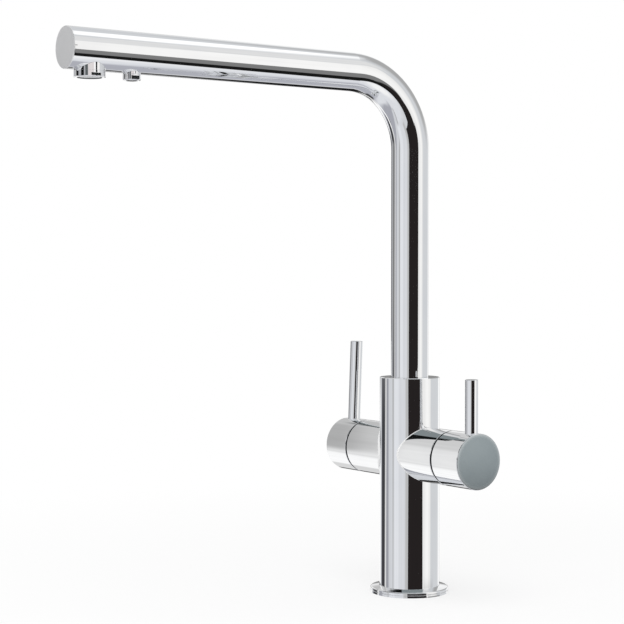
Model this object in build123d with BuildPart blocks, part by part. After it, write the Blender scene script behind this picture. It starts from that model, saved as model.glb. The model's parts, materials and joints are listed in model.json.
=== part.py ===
from build123d import *
from math import cos, radians, sin, sqrt
import os

# Three-way kitchen tap: hot and cold mix under the right-hand lever, filtered water runs
# under the left-hand lever, and the two waters leave by their own outlets on one spout.
# Millimetres. The origin is the middle of the seat on the worktop, +Z is up, the spout
# points along -Y, the mixer lever is on +X and the filtered-water lever is on -X.

# ---- driving sizes: base and column ----------------------------------------------------
column_diameter = 40.0
column_wall = 3.0
column_lip_height = 4.0
flange_overhang = 6.0
flange_edge = 3.6
flange_crown = 4.7
flange_seat_height = 1.6
flange_bore_play = 0.2
edge_groove_width = 0.5
edge_groove_depth = 0.4
gasket_inset = 1.5
gasket_width = 3.0
gasket_thickness = 1.2
rim_chamfer = 0.4

# ---- driving sizes: spout --------------------------------------------------------------
tube_diameter = 25.0
tube_wall = 1.5
arm_height = 344.0
arm_reach = 253.0
bend_radius = 49.0
end_cap_thickness = 2.0
end_plug_length = 4.0
main_outlet_inset = 15.9
main_outlet_diameter = 18.7
main_flat_width = 18.0
main_thread_diameter = 16.6
outlet_spacing = 27.8
filter_outlet_diameter = 10.8
filter_flat_width = 9.1
filter_nozzle_chamfer = 1.0
outlet_drop = 4.1
boss_drop = 0.4
flat_lift = 1.3

# ---- driving sizes: handles ------------------------------------------------------------
handle_diameter = 36.0
handle_height = 93.5
handle_end = 71.9
mixer_seam = 45.0
filter_seam = 48.0
seam_gap = 1.4
seam_chamfer = 0.5
cap_wall = 1.8
cap_solid_length = 14.9
lever_diameter = 8.5
lever_inset = 7.7
mixer_lever_length = 34.0
filter_lever_length = 54.2
filter_lever_lean = 2.3
lever_seat_rise = 9.0
lever_stud_diameter = 4.8
lever_stud_length = 3.0
grub_inset = 9.9
grub_diameter = 5.0
grub_length = 7.0
key_socket_radius = 1.4
key_socket_depth = 2.5

# ---- driving sizes: inlets and valve core ----------------------------------------------
block_height = 15.0
inlet_hole_diameter = 9.0
inlet_hole_depth = 7.5
stud_hole_diameter = 5.0
stud_hole_depth = 12.0
mixed_inlet_x = 4.5
mixed_inlet_y = 7.5
filter_inlet_x = -5.8
stud_x = -7.0
stud_y = 10.5
supply_tube_diameter = 8.0
supply_tube_bore = 5.2
socket_depth = 6.0
core_half_height = 27.5
core_top_rise = 33.5
pocket_floor = 10.0
port_diameter = 4.4
port_offset = 7.0
port_rise = 6.0
port_fall = 2.0
filter_port_offset = 5.0
mixed_riser_x = 6.6

# ---- driving sizes: cartridges ---------------------------------------------------------
cartridge_diameter = 25.0
cartridge_wall = 1.5
cartridge_floor = 3.5
mixer_cartridge_end = 32.0
filter_cartridge_end = 24.0
spigot_wall = 1.85
disc_thickness = 3.5
nut_wall = 2.4
nut_length = 9.0
nut_notch_radius = 1.4
nut_notch_depth = 2.5
base_seal_thickness = 1.0
base_seal_diameter = 20.0
ring_section = 1.5
turret_neck_diameter = 18.0
turret_plate_play = 1.2
turret_plate_thickness = 1.2
turret_plate_inset = 0.5
rocker_pin_inset = 2.7
rocker_pin_diameter = 1.6
rocker_eye_radius = 1.6
rocker_ear_thickness = 2.0
rocker_lug_thickness = 3.4
finger_diameter = 4.0
finger_length = 9.0
finger_play = 0.5
finger_lift = 2.0
carrier_plate_thickness = 2.7
stub_diameter = 10.0
stub_margin = 4.0
spindle_diameter = 9.0
gland_flange_thickness = 6.0
gland_neck_diameter = 16.0
gland_neck_length = 13.0

# ---- driving sizes: swivel and filtered-water line -------------------------------------
foot_length = 16.0
foot_diameter = 17.9
foot_bore_diameter = 12.4
foot_chamber = 2.0
foot_ring_spacing = 5.5
washer_thickness = 2.0
shoulder_height = 6.0
plug_length = 12.0
locking_groove_height = 3.8
locking_groove_depth = 1.5
locking_screw_diameter = 5.0
locking_tip_diameter = 3.2
bush_lift = 0.9
bush_height = 4.0
filter_tube_diameter = 6.35
filter_tube_bore = 4.3
filter_tube_socket = 7.0
filter_ring_section = 0.9
elbow_diameter = 9.2
elbow_length = 13.5
stem_diameter = 7.2
nozzle_bore_diameter = 6.0
aerator_bore_diameter = 14.0
aerator_thread_height = 6.4
aerator_insert_height = 7.0
insert_wall = 0.95
insert_floor = 1.5
insert_recess = 0.5
insert_hole_radius = 0.65
insert_hole_pitch = 0.95
filter_insert_height = 1.3
filter_insert_hole_radius = 0.5
filter_insert_hole_circle = 1.8
aerator_seal_thickness = 1.5
aerator_seal_bore = 10.0

# ---- named clearances ------------------------------------------------------------------
seat_gap = 0.05        # between two pieces that are fixed to each other
running_gap = 0.05     # between a turning piece and what guides it
free_gap = 0.3         # between pieces that move past each other and don't guide
thrust_gap = 0.1       # between two flat faces that slide on each other

# ---- related sizes ---------------------------------------------------------------------
column_radius = column_diameter / 2
column_bore = column_radius - column_wall
flange_radius = column_radius + flange_overhang
flange_bore = column_bore + flange_bore_play
gasket_outer = flange_radius - gasket_inset
gasket_inner = gasket_outer - gasket_width
tube_radius = tube_diameter / 2
tube_bore = tube_radius - tube_wall
handle_radius = handle_diameter / 2
cap_hollow_radius = handle_radius - cap_wall
cap_hollow_end = handle_end - cap_solid_length
lever_radius = lever_diameter / 2
lever_station = handle_end - lever_inset
grub_station = handle_end - grub_inset
port_radius = port_diameter / 2

core_radius = column_bore - seat_gap
core_bottom = handle_height - core_half_height
core_top = handle_height + core_top_rise
cartridge_radius = cartridge_diameter / 2
chamber_radius = cartridge_radius - cartridge_wall
chamber_start = pocket_floor + cartridge_floor
housing_bore = cartridge_radius + seat_gap
spigot_radius = housing_bore + spigot_wall
nut_radius = cartridge_radius + nut_wall
moving_disc_radius = chamber_radius - free_gap
moving_disc_start = chamber_start + disc_thickness + running_gap
moving_disc_end = moving_disc_start + disc_thickness
gland_end = filter_cartridge_end + gland_flange_thickness
stub_end = grub_station + stub_margin
mixer_ports = ((-port_offset, -port_fall), (port_offset, -port_fall), (0, port_rise))
filter_ports = ((0, -filter_port_offset), (0, filter_port_offset))

plate_start = mixer_seam + seam_gap / 2 + turret_plate_inset
plate_end = plate_start + turret_plate_thickness
rocker_pin_station = mixer_seam + seam_gap / 2 + rocker_pin_inset
rocker_ear_start = rocker_lug_thickness / 2 + free_gap
rocker_ear_end = rocker_ear_start + rocker_ear_thickness
rocker_pin_drop = sqrt(cap_hollow_radius**2 - rocker_ear_end**2) - rocker_eye_radius - free_gap
rocker_pin_height = handle_height - rocker_pin_drop
carrier_start = rocker_pin_station + rocker_eye_radius + free_gap
finger_tip = carrier_start - finger_length

foot_radius = foot_diameter / 2
foot_bottom = core_top - foot_length
foot_chamber_floor = foot_bottom - foot_chamber
filter_socket_bottom = foot_chamber_floor - filter_tube_socket
washer_top = core_top + washer_thickness
shoulder_bottom = washer_top + thrust_gap
tube_foot = shoulder_bottom + shoulder_height
locking_height = shoulder_bottom + shoulder_height / 2
locking_groove_radius = tube_radius - locking_groove_depth
bush_bottom = tube_foot + bush_lift
lip_bottom = bush_bottom + bush_height
column_top = lip_bottom + column_lip_height
filter_tube_radius = filter_tube_diameter / 2

arm_underside = arm_height - tube_radius
outlet_bottom = arm_underside - outlet_drop
boss_bottom = arm_underside - boss_drop
arm_cap_start = arm_reach - end_cap_thickness
main_outlet_station = arm_reach - main_outlet_inset
filter_outlet_station = main_outlet_station - outlet_spacing
main_outlet_radius = main_outlet_diameter / 2
main_thread_radius = main_thread_diameter / 2
filter_outlet_radius = filter_outlet_diameter / 2
elbow_radius = elbow_diameter / 2
elbow_end = filter_outlet_station + elbow_radius
elbow_mouth = elbow_end - elbow_length
elbow_socket_end = elbow_mouth + socket_depth
stem_radius = stem_diameter / 2
stem_end = outlet_bottom + insert_recess + filter_insert_height


# ---- planes and small helpers ----------------------------------------------------------
def height(z):
    """Level plane at a height above the worktop."""
    return Plane.XY.offset(z)


def outward(side, station):
    """Plane square to a handle's axis, its normal pointing away from the column."""
    return Plane(origin=(side * station, 0, handle_height), x_dir=(0, side, 0), z_dir=(side, 0, 0))


def crosswise(station, rise, lean, side):
    """Plane square to a lever or its grub screw, a rise along it from the handle's axis."""
    up = (0, sin(radians(lean)), cos(radians(lean)))
    place = (side * station, rise * up[1], handle_height + rise * up[2])
    return Plane(origin=place, x_dir=(1, 0, 0), z_dir=up)


def turned(plane, outer, inner, length):
    """Plain turned ring: a disc with a round hole."""
    with BuildPart() as ring:
        with BuildSketch(plane):
            Circle(outer)
            Circle(inner, mode=Mode.SUBTRACT)
        extrude(amount=length)
    return ring


def seal_ring(plane, outer, section):
    """Round-section sealing ring, centred on a plane."""
    with BuildPart(plane) as ring:
        Torus(outer - section / 2, section / 2)
    return ring


def key_prism(plane):
    """Six-sided prism that cuts a key socket into a screw's end."""
    with BuildPart() as prism:
        with BuildSketch(plane):
            RegularPolygon(key_socket_radius, 6)
        extrude(amount=key_socket_depth)
    return prism.part


os.makedirs("parts", exist_ok=True)

# ---- base ------------------------------------------------------------------------------
with BuildPart() as base_flange:
    with BuildSketch(Plane.XZ):
        with BuildLine():
            Polyline(
                (flange_bore, 0),
                (flange_radius, 0),
                (flange_radius, flange_edge),
                (column_radius + seat_gap, flange_crown),
                (column_radius + seat_gap, flange_seat_height),
                (flange_bore, flange_seat_height),
                close=True,
            )
        make_face()
    revolve(axis=Axis.Z)
    with BuildSketch(Plane.XY):
        Circle(gasket_outer)
        Circle(gasket_inner, mode=Mode.SUBTRACT)
    extrude(amount=gasket_thickness, mode=Mode.SUBTRACT)
    with BuildSketch(height(flange_edge / 2 - edge_groove_width / 2)):
        Circle(flange_radius)
        Circle(flange_radius - edge_groove_depth, mode=Mode.SUBTRACT)
    extrude(amount=edge_groove_width, mode=Mode.SUBTRACT)
base_flange.part.label = "base_flange"
export_step(base_flange.part, "parts/base_flange.step")

base_gasket = turned(Plane.XY, gasket_outer, gasket_inner, gasket_thickness)
base_gasket.part.label = "base_gasket"
export_step(base_gasket.part, "parts/base_gasket.step")

inlets = {
    "hot": (mixed_inlet_x, -mixed_inlet_y),
    "cold": (mixed_inlet_x, mixed_inlet_y),
    "filter": (filter_inlet_x, 0),
}
studs = ((stud_x, -stud_y), (stud_x, stud_y))

with BuildPart() as inlet_block:
    with BuildSketch(Plane.XY):
        Circle(core_radius)
    extrude(amount=block_height)
    with BuildSketch(Plane.XY):
        with Locations(*inlets.values()):
            Circle(inlet_hole_diameter / 2)
    extrude(amount=inlet_hole_depth, mode=Mode.SUBTRACT)
    with BuildSketch(Plane.XY):
        with Locations(*inlets.values()):
            Circle(supply_tube_bore / 2)
    extrude(amount=block_height, mode=Mode.SUBTRACT)
    with BuildSketch(height(block_height)):
        with Locations(*inlets.values()):
            Circle(supply_tube_diameter / 2 + seat_gap)
    extrude(amount=-socket_depth, mode=Mode.SUBTRACT)
    with BuildSketch(Plane.XY):
        with Locations(*studs):
            Circle(stud_hole_diameter / 2)
    extrude(amount=stud_hole_depth, mode=Mode.SUBTRACT)
inlet_block.part.label = "inlet_block"
export_step(inlet_block.part, "parts/inlet_block.step")

for water, place in inlets.items():
    with BuildPart() as supply_tube:
        with BuildSketch(height(block_height - socket_depth)):
            with Locations(place):
                Circle(supply_tube_diameter / 2)
                Circle(supply_tube_bore / 2, mode=Mode.SUBTRACT)
        extrude(amount=core_bottom - block_height + 2 * socket_depth)
    supply_tube.part.label = f"{water}_supply_tube"
    export_step(supply_tube.part, f"parts/{water}_supply_tube.step")

# ---- column and valve core -------------------------------------------------------------
rear_wall = Plane(origin=(0, column_radius, locking_height), x_dir=(1, 0, 0), z_dir=(0, -1, 0))

with BuildPart() as column:
    with BuildSketch(height(flange_seat_height)):
        Circle(column_radius)
    extrude(amount=column_top - flange_seat_height)
    chamfer(column.edges().sort_by(Axis.Z)[-1], rim_chamfer)
    with BuildSketch(height(flange_seat_height)):
        Circle(column_bore)
    extrude(amount=lip_bottom - flange_seat_height, mode=Mode.SUBTRACT)
    with BuildSketch(height(lip_bottom)):
        Circle(tube_radius + free_gap)
    extrude(amount=column_lip_height, mode=Mode.SUBTRACT)
    with BuildSketch(outward(1, 0)):
        Circle(spigot_radius + seat_gap)
    extrude(amount=column_diameter, both=True, mode=Mode.SUBTRACT)
    with BuildSketch(rear_wall):
        Circle(locking_screw_diameter / 2 + seat_gap)
    extrude(amount=2 * column_wall, mode=Mode.SUBTRACT)
column.part.label = "column"
export_step(column.part, "parts/column.step")

with BuildPart() as valve_core:
    with BuildSketch(height(core_bottom)):
        Circle(core_radius)
    extrude(amount=core_top - core_bottom)
    for side in (1, -1):
        with BuildSketch(outward(side, pocket_floor)):
            Circle(spigot_radius + seat_gap)
        extrude(amount=core_radius, mode=Mode.SUBTRACT)
    # bore for the spout's foot, with a water chamber under it
    with BuildSketch(height(foot_chamber_floor)):
        Circle(foot_radius + running_gap)
    extrude(amount=core_top - foot_chamber_floor, mode=Mode.SUBTRACT)
    # socket for the filtered-water tube, and the groove of its ring
    with BuildSketch(height(filter_socket_bottom)):
        Circle(filter_tube_radius + running_gap / 2)
    extrude(amount=filter_tube_socket, mode=Mode.SUBTRACT)
    with BuildSketch(height(filter_socket_bottom + filter_tube_socket / 2)):
        Circle(filter_tube_radius + running_gap / 2 + filter_ring_section)
    extrude(amount=filter_ring_section / 2, both=True, mode=Mode.SUBTRACT)
    # sockets and rising passages of the three supplies
    with BuildSketch(height(core_bottom)):
        with Locations(*inlets.values()):
            Circle(supply_tube_diameter / 2 + seat_gap)
    extrude(amount=socket_depth, mode=Mode.SUBTRACT)
    with BuildSketch(height(core_bottom)):
        with Locations(*inlets.values()):
            Circle(port_radius)
    extrude(amount=core_half_height - port_fall, mode=Mode.SUBTRACT)
    # ports between the pocket floors and those passages
    with BuildSketch(outward(1, mixed_inlet_x)):
        with Locations(*mixer_ports[:2]):
            Circle(port_radius)
    extrude(amount=pocket_floor - mixed_inlet_x, mode=Mode.SUBTRACT)
    with BuildSketch(outward(-1, -filter_inlet_x)):
        with Locations(filter_ports[0]):
            Circle(port_radius)
    extrude(amount=pocket_floor + filter_inlet_x, mode=Mode.SUBTRACT)
    # mixed water: out of the mixer's pocket and up to the chamber
    with BuildSketch(outward(1, mixed_riser_x)):
        with Locations(mixer_ports[2]):
            Circle(port_radius)
    extrude(amount=pocket_floor - mixed_riser_x, mode=Mode.SUBTRACT)
    with BuildSketch(height(handle_height + port_rise)):
        with Locations((mixed_riser_x, 0)):
            Circle(port_radius)
    extrude(amount=foot_chamber_floor - handle_height - port_rise, mode=Mode.SUBTRACT)
    # filtered water: out of the other pocket and up the middle
    with BuildSketch(outward(-1, 0)):
        with Locations(filter_ports[1]):
            Circle(port_radius)
    extrude(amount=pocket_floor, mode=Mode.SUBTRACT)
    with BuildSketch(height(handle_height + filter_port_offset)):
        Circle(filter_tube_bore / 2)
    extrude(amount=filter_socket_bottom - handle_height - filter_port_offset, mode=Mode.SUBTRACT)
valve_core.part.label = "valve_core"
export_step(valve_core.part, "parts/valve_core.step")

# ---- side barrels, with what both valves have alike ------------------------------------
sides = {
    # side, seam, end of the cartridge, where its nut bears, ports, bore of the nut
    "mixer": (1, mixer_seam, mixer_cartridge_end, mixer_cartridge_end, mixer_ports,
              turret_neck_diameter / 2 + free_gap),
    "filter": (-1, filter_seam, filter_cartridge_end, gland_end, filter_ports,
               gland_neck_diameter / 2 + seat_gap),
}

for water, (side, seam, cartridge_end, nut_start, ports, nut_bore) in sides.items():
    housing_end = seam - seam_gap / 2
    with BuildPart() as housing:
        with BuildSketch(outward(side, 0)):
            Circle(handle_radius)
        extrude(amount=housing_end)
        chamfer(housing.edges().sort_by(Axis.X)[-1 if side > 0 else 0], seam_chamfer)
        with BuildSketch(height(handle_height)):
            Circle(column_radius + seat_gap)
        extrude(amount=handle_diameter, both=True, mode=Mode.SUBTRACT)
        with BuildSketch(outward(side, pocket_floor)):
            Circle(spigot_radius)
        extrude(amount=column_radius)
        with BuildSketch(outward(side, pocket_floor)):
            Circle(housing_bore)
        extrude(amount=housing_end - pocket_floor, mode=Mode.SUBTRACT)
        with BuildSketch(outward(side, nut_start)):
            Circle(nut_radius + seat_gap)
        extrude(amount=housing_end - nut_start, mode=Mode.SUBTRACT)
    housing.part.label = f"{water}_housing"
    export_step(housing.part, f"parts/{water}_housing.step")

    with BuildPart() as cartridge:
        with BuildSketch(outward(side, pocket_floor)):
            Circle(cartridge_radius)
        extrude(amount=cartridge_end - pocket_floor)
        with BuildSketch(outward(side, chamber_start)):
            Circle(chamber_radius)
        extrude(amount=cartridge_end - chamber_start, mode=Mode.SUBTRACT)
        with BuildSketch(outward(side, pocket_floor)):
            Circle(base_seal_diameter / 2 + seat_gap)
        extrude(amount=base_seal_thickness, mode=Mode.SUBTRACT)
        with BuildSketch(outward(side, pocket_floor)):
            with Locations(*ports):
                Circle(port_radius)
        extrude(amount=cartridge_floor, mode=Mode.SUBTRACT)
    cartridge.part.label = f"{water}_cartridge"
    export_step(cartridge.part, f"parts/{water}_cartridge.step")

    with BuildPart() as base_seal:
        with BuildSketch(outward(side, pocket_floor)):
            Circle(base_seal_diameter / 2)
            with Locations(*ports):
                Circle(port_radius, mode=Mode.SUBTRACT)
        extrude(amount=base_seal_thickness)
    base_seal.part.label = f"{water}_base_seal"
    export_step(base_seal.part, f"parts/{water}_base_seal.step")

    with BuildPart() as fixed_disc:
        with BuildSketch(outward(side, chamber_start)):
            Circle(chamber_radius - seat_gap)
            with Locations(*ports):
                Circle(port_radius, mode=Mode.SUBTRACT)
        extrude(amount=disc_thickness)
    fixed_disc.part.label = f"{water}_fixed_disc"
    export_step(fixed_disc.part, f"parts/{water}_fixed_disc.step")

    # a pocket in the moving disc's face joins the ports as it turns
    with BuildPart() as moving_disc:
        with BuildSketch(outward(side, moving_disc_start)):
            Circle(moving_disc_radius)
        extrude(amount=disc_thickness)
        with BuildSketch(outward(side, moving_disc_start)):
            SlotCenterToCenter(filter_port_offset + port_radius, port_diameter, rotation=90)
        extrude(amount=disc_thickness / 2, mode=Mode.SUBTRACT)
    moving_disc.part.label = f"{water}_moving_disc"
    export_step(moving_disc.part, f"parts/{water}_moving_disc.step")

    with BuildPart() as retaining_nut:
        with BuildSketch(outward(side, nut_start)):
            Circle(nut_radius)
            Circle(nut_bore, mode=Mode.SUBTRACT)
        extrude(amount=nut_length)
        with BuildSketch(outward(side, nut_start + nut_length)):
            with PolarLocations((nut_radius + nut_bore) / 2, 4):
                Circle(nut_notch_radius)
        extrude(amount=-nut_notch_depth, mode=Mode.SUBTRACT)
    retaining_nut.part.label = f"{water}_retaining_nut"
    export_step(retaining_nut.part, f"parts/{water}_retaining_nut.step")

# ---- mixer: turret, rocker pin and handle carrier --------------------------------------
with BuildPart() as mixer_turret:
    with BuildSketch(outward(1, moving_disc_end)):
        Circle(moving_disc_radius)
    extrude(amount=mixer_cartridge_end - free_gap - moving_disc_end)
    with BuildSketch(outward(1, moving_disc_end)):
        Circle(turret_neck_diameter / 2)
    extrude(amount=plate_end - moving_disc_end)
    with BuildSketch(outward(1, plate_start)):
        Circle(cap_hollow_radius - turret_plate_play)
    extrude(amount=turret_plate_thickness)
    # two ears that hold the rocker pin
    for edge in (-1, 1):
        with BuildSketch(Plane.XZ.offset(edge * rocker_ear_start)):
            with Locations((rocker_pin_station, rocker_pin_height)):
                Circle(rocker_eye_radius)
            with Locations((rocker_pin_station, rocker_pin_height - rocker_pin_diameter / 2)):
                Rectangle(rocker_pin_station - plate_start, rocker_eye_radius + rocker_pin_diameter / 2,
                          align=(Align.MAX, Align.MIN))
        extrude(amount=edge * rocker_ear_thickness)
    # notch for the rocker's lug, hole for its pin, slot for its finger
    with BuildSketch(Plane.XZ):
        with Locations((rocker_pin_station, rocker_pin_height)):
            Rectangle(2 * (rocker_pin_station - plate_start + free_gap),
                      2 * (rocker_eye_radius + 2 * free_gap))
    extrude(amount=rocker_ear_start, both=True, mode=Mode.SUBTRACT)
    with BuildSketch(Plane.XZ):
        with Locations((rocker_pin_station, rocker_pin_height)):
            Circle(rocker_pin_diameter / 2 + seat_gap)
    extrude(amount=rocker_ear_end, both=True, mode=Mode.SUBTRACT)
    with BuildSketch(outward(1, finger_tip - finger_play)):
        with Locations((0, finger_lift / 2)):
            Rectangle(finger_diameter + 2 * finger_play, finger_diameter + 2 * finger_play + finger_lift)
    extrude(amount=plate_end - finger_tip + finger_play, mode=Mode.SUBTRACT)
    # groove for the neck's ring
    with BuildSketch(outward(1, mixer_cartridge_end + nut_length / 2)):
        Circle(turret_neck_diameter / 2)
        Circle(turret_neck_diameter / 2 + free_gap - running_gap - ring_section, mode=Mode.SUBTRACT)
    extrude(amount=ring_section / 2, both=True, mode=Mode.SUBTRACT)
mixer_turret.part.label = "mixer_turret"
export_step(mixer_turret.part, "parts/mixer_turret.step")

mixer_turret_ring = seal_ring(
    outward(1, mixer_cartridge_end + nut_length / 2),
    turret_neck_diameter / 2 + free_gap - running_gap,
    ring_section,
)
mixer_turret_ring.part.label = "mixer_turret_ring"
export_step(mixer_turret_ring.part, "parts/mixer_turret_ring.step")

with BuildPart() as mixer_rocker_pin:
    with BuildSketch(Plane.XZ):
        with Locations((rocker_pin_station, rocker_pin_height)):
            Circle(rocker_pin_diameter / 2)
    extrude(amount=rocker_ear_end, both=True)
mixer_rocker_pin.part.label = "mixer_rocker_pin"
export_step(mixer_rocker_pin.part, "parts/mixer_rocker_pin.step")

with BuildPart() as mixer_carrier:
    with BuildSketch(outward(1, carrier_start)):
        Circle(cap_hollow_radius - seat_gap)
    extrude(amount=carrier_plate_thickness)
    with BuildSketch(outward(1, carrier_start)):
        Circle(stub_diameter / 2)
    extrude(amount=stub_end - carrier_start)
    with BuildSketch(outward(1, finger_tip)):
        Circle(finger_diameter / 2)
    extrude(amount=finger_length)
    with BuildSketch(Plane.XZ):
        with Locations((rocker_pin_station, rocker_pin_height)):
            Circle(rocker_eye_radius)
        with Locations((carrier_start, rocker_pin_height)):
            Rectangle(2 * (carrier_start - rocker_pin_station), 2 * rocker_eye_radius)
    extrude(amount=rocker_lug_thickness / 2, both=True)
    with BuildSketch(Plane.XZ):
        with Locations((rocker_pin_station, rocker_pin_height)):
            Circle(rocker_pin_diameter / 2 + running_gap)
    extrude(amount=rocker_lug_thickness / 2, both=True, mode=Mode.SUBTRACT)
mixer_carrier.part.label = "mixer_carrier"
export_step(mixer_carrier.part, "parts/mixer_carrier.step")

# ---- filter valve: gland and spindle ---------------------------------------------------
with BuildPart() as filter_gland:
    with BuildSketch(outward(-1, filter_cartridge_end)):
        Circle(cartridge_radius)
    extrude(amount=gland_flange_thickness)
    with BuildSketch(outward(-1, gland_end)):
        Circle(gland_neck_diameter / 2)
    extrude(amount=gland_neck_length)
    with BuildSketch(outward(-1, filter_cartridge_end)):
        Circle(spindle_diameter / 2 + running_gap)
    extrude(amount=gland_flange_thickness + gland_neck_length, mode=Mode.SUBTRACT)
filter_gland.part.label = "filter_gland"
export_step(filter_gland.part, "parts/filter_gland.step")

spindle_ring_station = gland_end + gland_neck_length / 2
with BuildPart() as filter_spindle:
    with BuildSketch(outward(-1, moving_disc_end)):
        Circle(moving_disc_radius)
    extrude(amount=filter_cartridge_end - free_gap - moving_disc_end)
    with BuildSketch(outward(-1, moving_disc_end)):
        Circle(spindle_diameter / 2)
    extrude(amount=stub_end - moving_disc_end)
    with BuildSketch(outward(-1, spindle_ring_station)):
        Circle(spindle_diameter / 2)
        Circle(spindle_diameter / 2 - ring_section, mode=Mode.SUBTRACT)
    extrude(amount=ring_section / 2, both=True, mode=Mode.SUBTRACT)
filter_spindle.part.label = "filter_spindle"
export_step(filter_spindle.part, "parts/filter_spindle.step")

filter_spindle_ring = seal_ring(outward(-1, spindle_ring_station), spindle_diameter / 2, ring_section)
filter_spindle_ring.part.label = "filter_spindle_ring"
export_step(filter_spindle_ring.part, "parts/filter_spindle_ring.step")

# ---- handles: cap, lever and grub screw ------------------------------------------------
handles = {
    # side, seam, shaft in the cap, lever length beyond the cap, lean
    "mixer": (1, mixer_seam, stub_diameter / 2, mixer_lever_length, 0.0),
    "filter": (-1, filter_seam, spindle_diameter / 2, filter_lever_length, filter_lever_lean),
}

for water, (side, seam, shaft, lever_length, lean) in handles.items():
    cap_start = seam + seam_gap / 2
    grub_top = -shaft - seat_gap
    with BuildPart() as cap:
        with BuildSketch(outward(side, cap_start)):
            Circle(handle_radius)
        extrude(amount=handle_end - cap_start)
        chamfer(cap.edges().filter_by(GeomType.CIRCLE).sort_by(Axis.X)[0 if side > 0 else -1],
                seam_chamfer)
        chamfer(cap.edges().filter_by(GeomType.CIRCLE).sort_by(Axis.X)[-1 if side > 0 else 0],
                rim_chamfer)
        with BuildSketch(outward(side, cap_start)):
            Circle(cap_hollow_radius)
        extrude(amount=cap_hollow_end - cap_start, mode=Mode.SUBTRACT)
        with BuildSketch(outward(side, cap_hollow_end)):
            Circle(shaft + seat_gap)
        extrude(amount=stub_end - cap_hollow_end + seat_gap, mode=Mode.SUBTRACT)
        with BuildSketch(crosswise(lever_station, lever_seat_rise, lean, side)):
            Circle(lever_radius + seat_gap)
        extrude(amount=handle_radius, mode=Mode.SUBTRACT)
        with BuildSketch(crosswise(lever_station, lever_seat_rise - lever_stud_length, lean, side)):
            Circle(lever_stud_diameter / 2 + seat_gap)
        extrude(amount=lever_stud_length, mode=Mode.SUBTRACT)
        with BuildSketch(crosswise(grub_station, -handle_diameter, lean, side)):
            Circle(grub_diameter / 2 + seat_gap)
        extrude(amount=handle_diameter - shaft, mode=Mode.SUBTRACT)
    cap.part.label = f"{water}_cap"
    export_step(cap.part, f"parts/{water}_cap.step")

    with BuildPart() as lever:
        with BuildSketch(crosswise(lever_station, lever_seat_rise, lean, side)):
            Circle(lever_radius)
        extrude(amount=handle_radius + lever_length - lever_seat_rise)
        chamfer(lever.edges().filter_by(GeomType.CIRCLE).sort_by(Axis.Z)[-1], rim_chamfer)
        with BuildSketch(crosswise(lever_station, lever_seat_rise, lean, side)):
            Circle(lever_stud_diameter / 2)
        extrude(amount=-lever_stud_length)
    lever.part.label = f"{water}_lever"
    export_step(lever.part, f"parts/{water}_lever.step")

    with BuildPart() as grub_screw:
        with BuildSketch(crosswise(grub_station, grub_top - grub_length, lean, side)):
            Circle(grub_diameter / 2)
        extrude(amount=grub_length)
        add(key_prism(crosswise(grub_station, grub_top - grub_length, lean, side)), mode=Mode.SUBTRACT)
    grub_screw.part.label = f"{water}_grub_screw"
    export_step(grub_screw.part, f"parts/{water}_grub_screw.step")

# ---- spout foot and what carries it in the column --------------------------------------
ring_heights = (foot_bottom + foot_ring_spacing, foot_bottom + 2 * foot_ring_spacing)

with BuildPart() as spout_foot:
    with BuildSketch(height(foot_bottom)):
        Circle(foot_radius)
    extrude(amount=shoulder_bottom - foot_bottom)
    with BuildSketch(height(shoulder_bottom)):
        Circle(tube_radius)
    extrude(amount=shoulder_height)
    with BuildSketch(height(tube_foot)):
        Circle(tube_bore - seat_gap)
    extrude(amount=plug_length)
    with BuildSketch(height(foot_bottom)):
        Circle(foot_bore_diameter / 2)
    extrude(amount=tube_foot + plug_length - foot_bottom, mode=Mode.SUBTRACT)
    with BuildSketch(height(locking_height)):
        Circle(tube_radius)
        Circle(locking_groove_radius, mode=Mode.SUBTRACT)
    extrude(amount=locking_groove_height / 2, both=True, mode=Mode.SUBTRACT)
    for ring_height in ring_heights:
        with BuildSketch(height(ring_height)):
            Circle(foot_radius)
            Circle(foot_radius - ring_section, mode=Mode.SUBTRACT)
        extrude(amount=ring_section / 2, both=True, mode=Mode.SUBTRACT)
spout_foot.part.label = "spout_foot"
export_step(spout_foot.part, "parts/spout_foot.step")

with BuildPart() as spout_foot_rings:
    for ring_height in ring_heights:
        with Locations((0, 0, ring_height)):
            Torus(foot_radius - ring_section / 2, ring_section / 2)
spout_foot_rings.part.label = "spout_foot_rings"
export_step(spout_foot_rings.part, "parts/spout_foot_rings.step")

thrust_washer = turned(height(core_top), core_radius - free_gap, foot_radius + free_gap, washer_thickness)
thrust_washer.part.label = "thrust_washer"
export_step(thrust_washer.part, "parts/thrust_washer.step")

guide_bush = turned(height(bush_bottom), core_radius, tube_radius + running_gap, bush_height)
guide_bush.part.label = "guide_bush"
export_step(guide_bush.part, "parts/guide_bush.step")

with BuildPart() as locking_screw:
    with BuildSketch(rear_wall.offset(rim_chamfer)):
        Circle(locking_screw_diameter / 2)
    extrude(amount=column_wall - rim_chamfer)
    with BuildSketch(rear_wall.offset(rim_chamfer)):
        Circle(locking_tip_diameter / 2)
    extrude(amount=column_radius - locking_groove_radius - free_gap - rim_chamfer)
    add(key_prism(rear_wall.offset(rim_chamfer)), mode=Mode.SUBTRACT)
locking_screw.part.label = "locking_screw"
export_step(locking_screw.part, "parts/locking_screw.step")

filter_tube_ring = seal_ring(
    height(filter_socket_bottom + filter_tube_socket / 2),
    filter_tube_radius + running_gap / 2 + filter_ring_section,
    filter_ring_section,
)
filter_tube_ring.part.label = "filter_tube_ring"
export_step(filter_tube_ring.part, "parts/filter_tube_ring.step")


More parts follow.
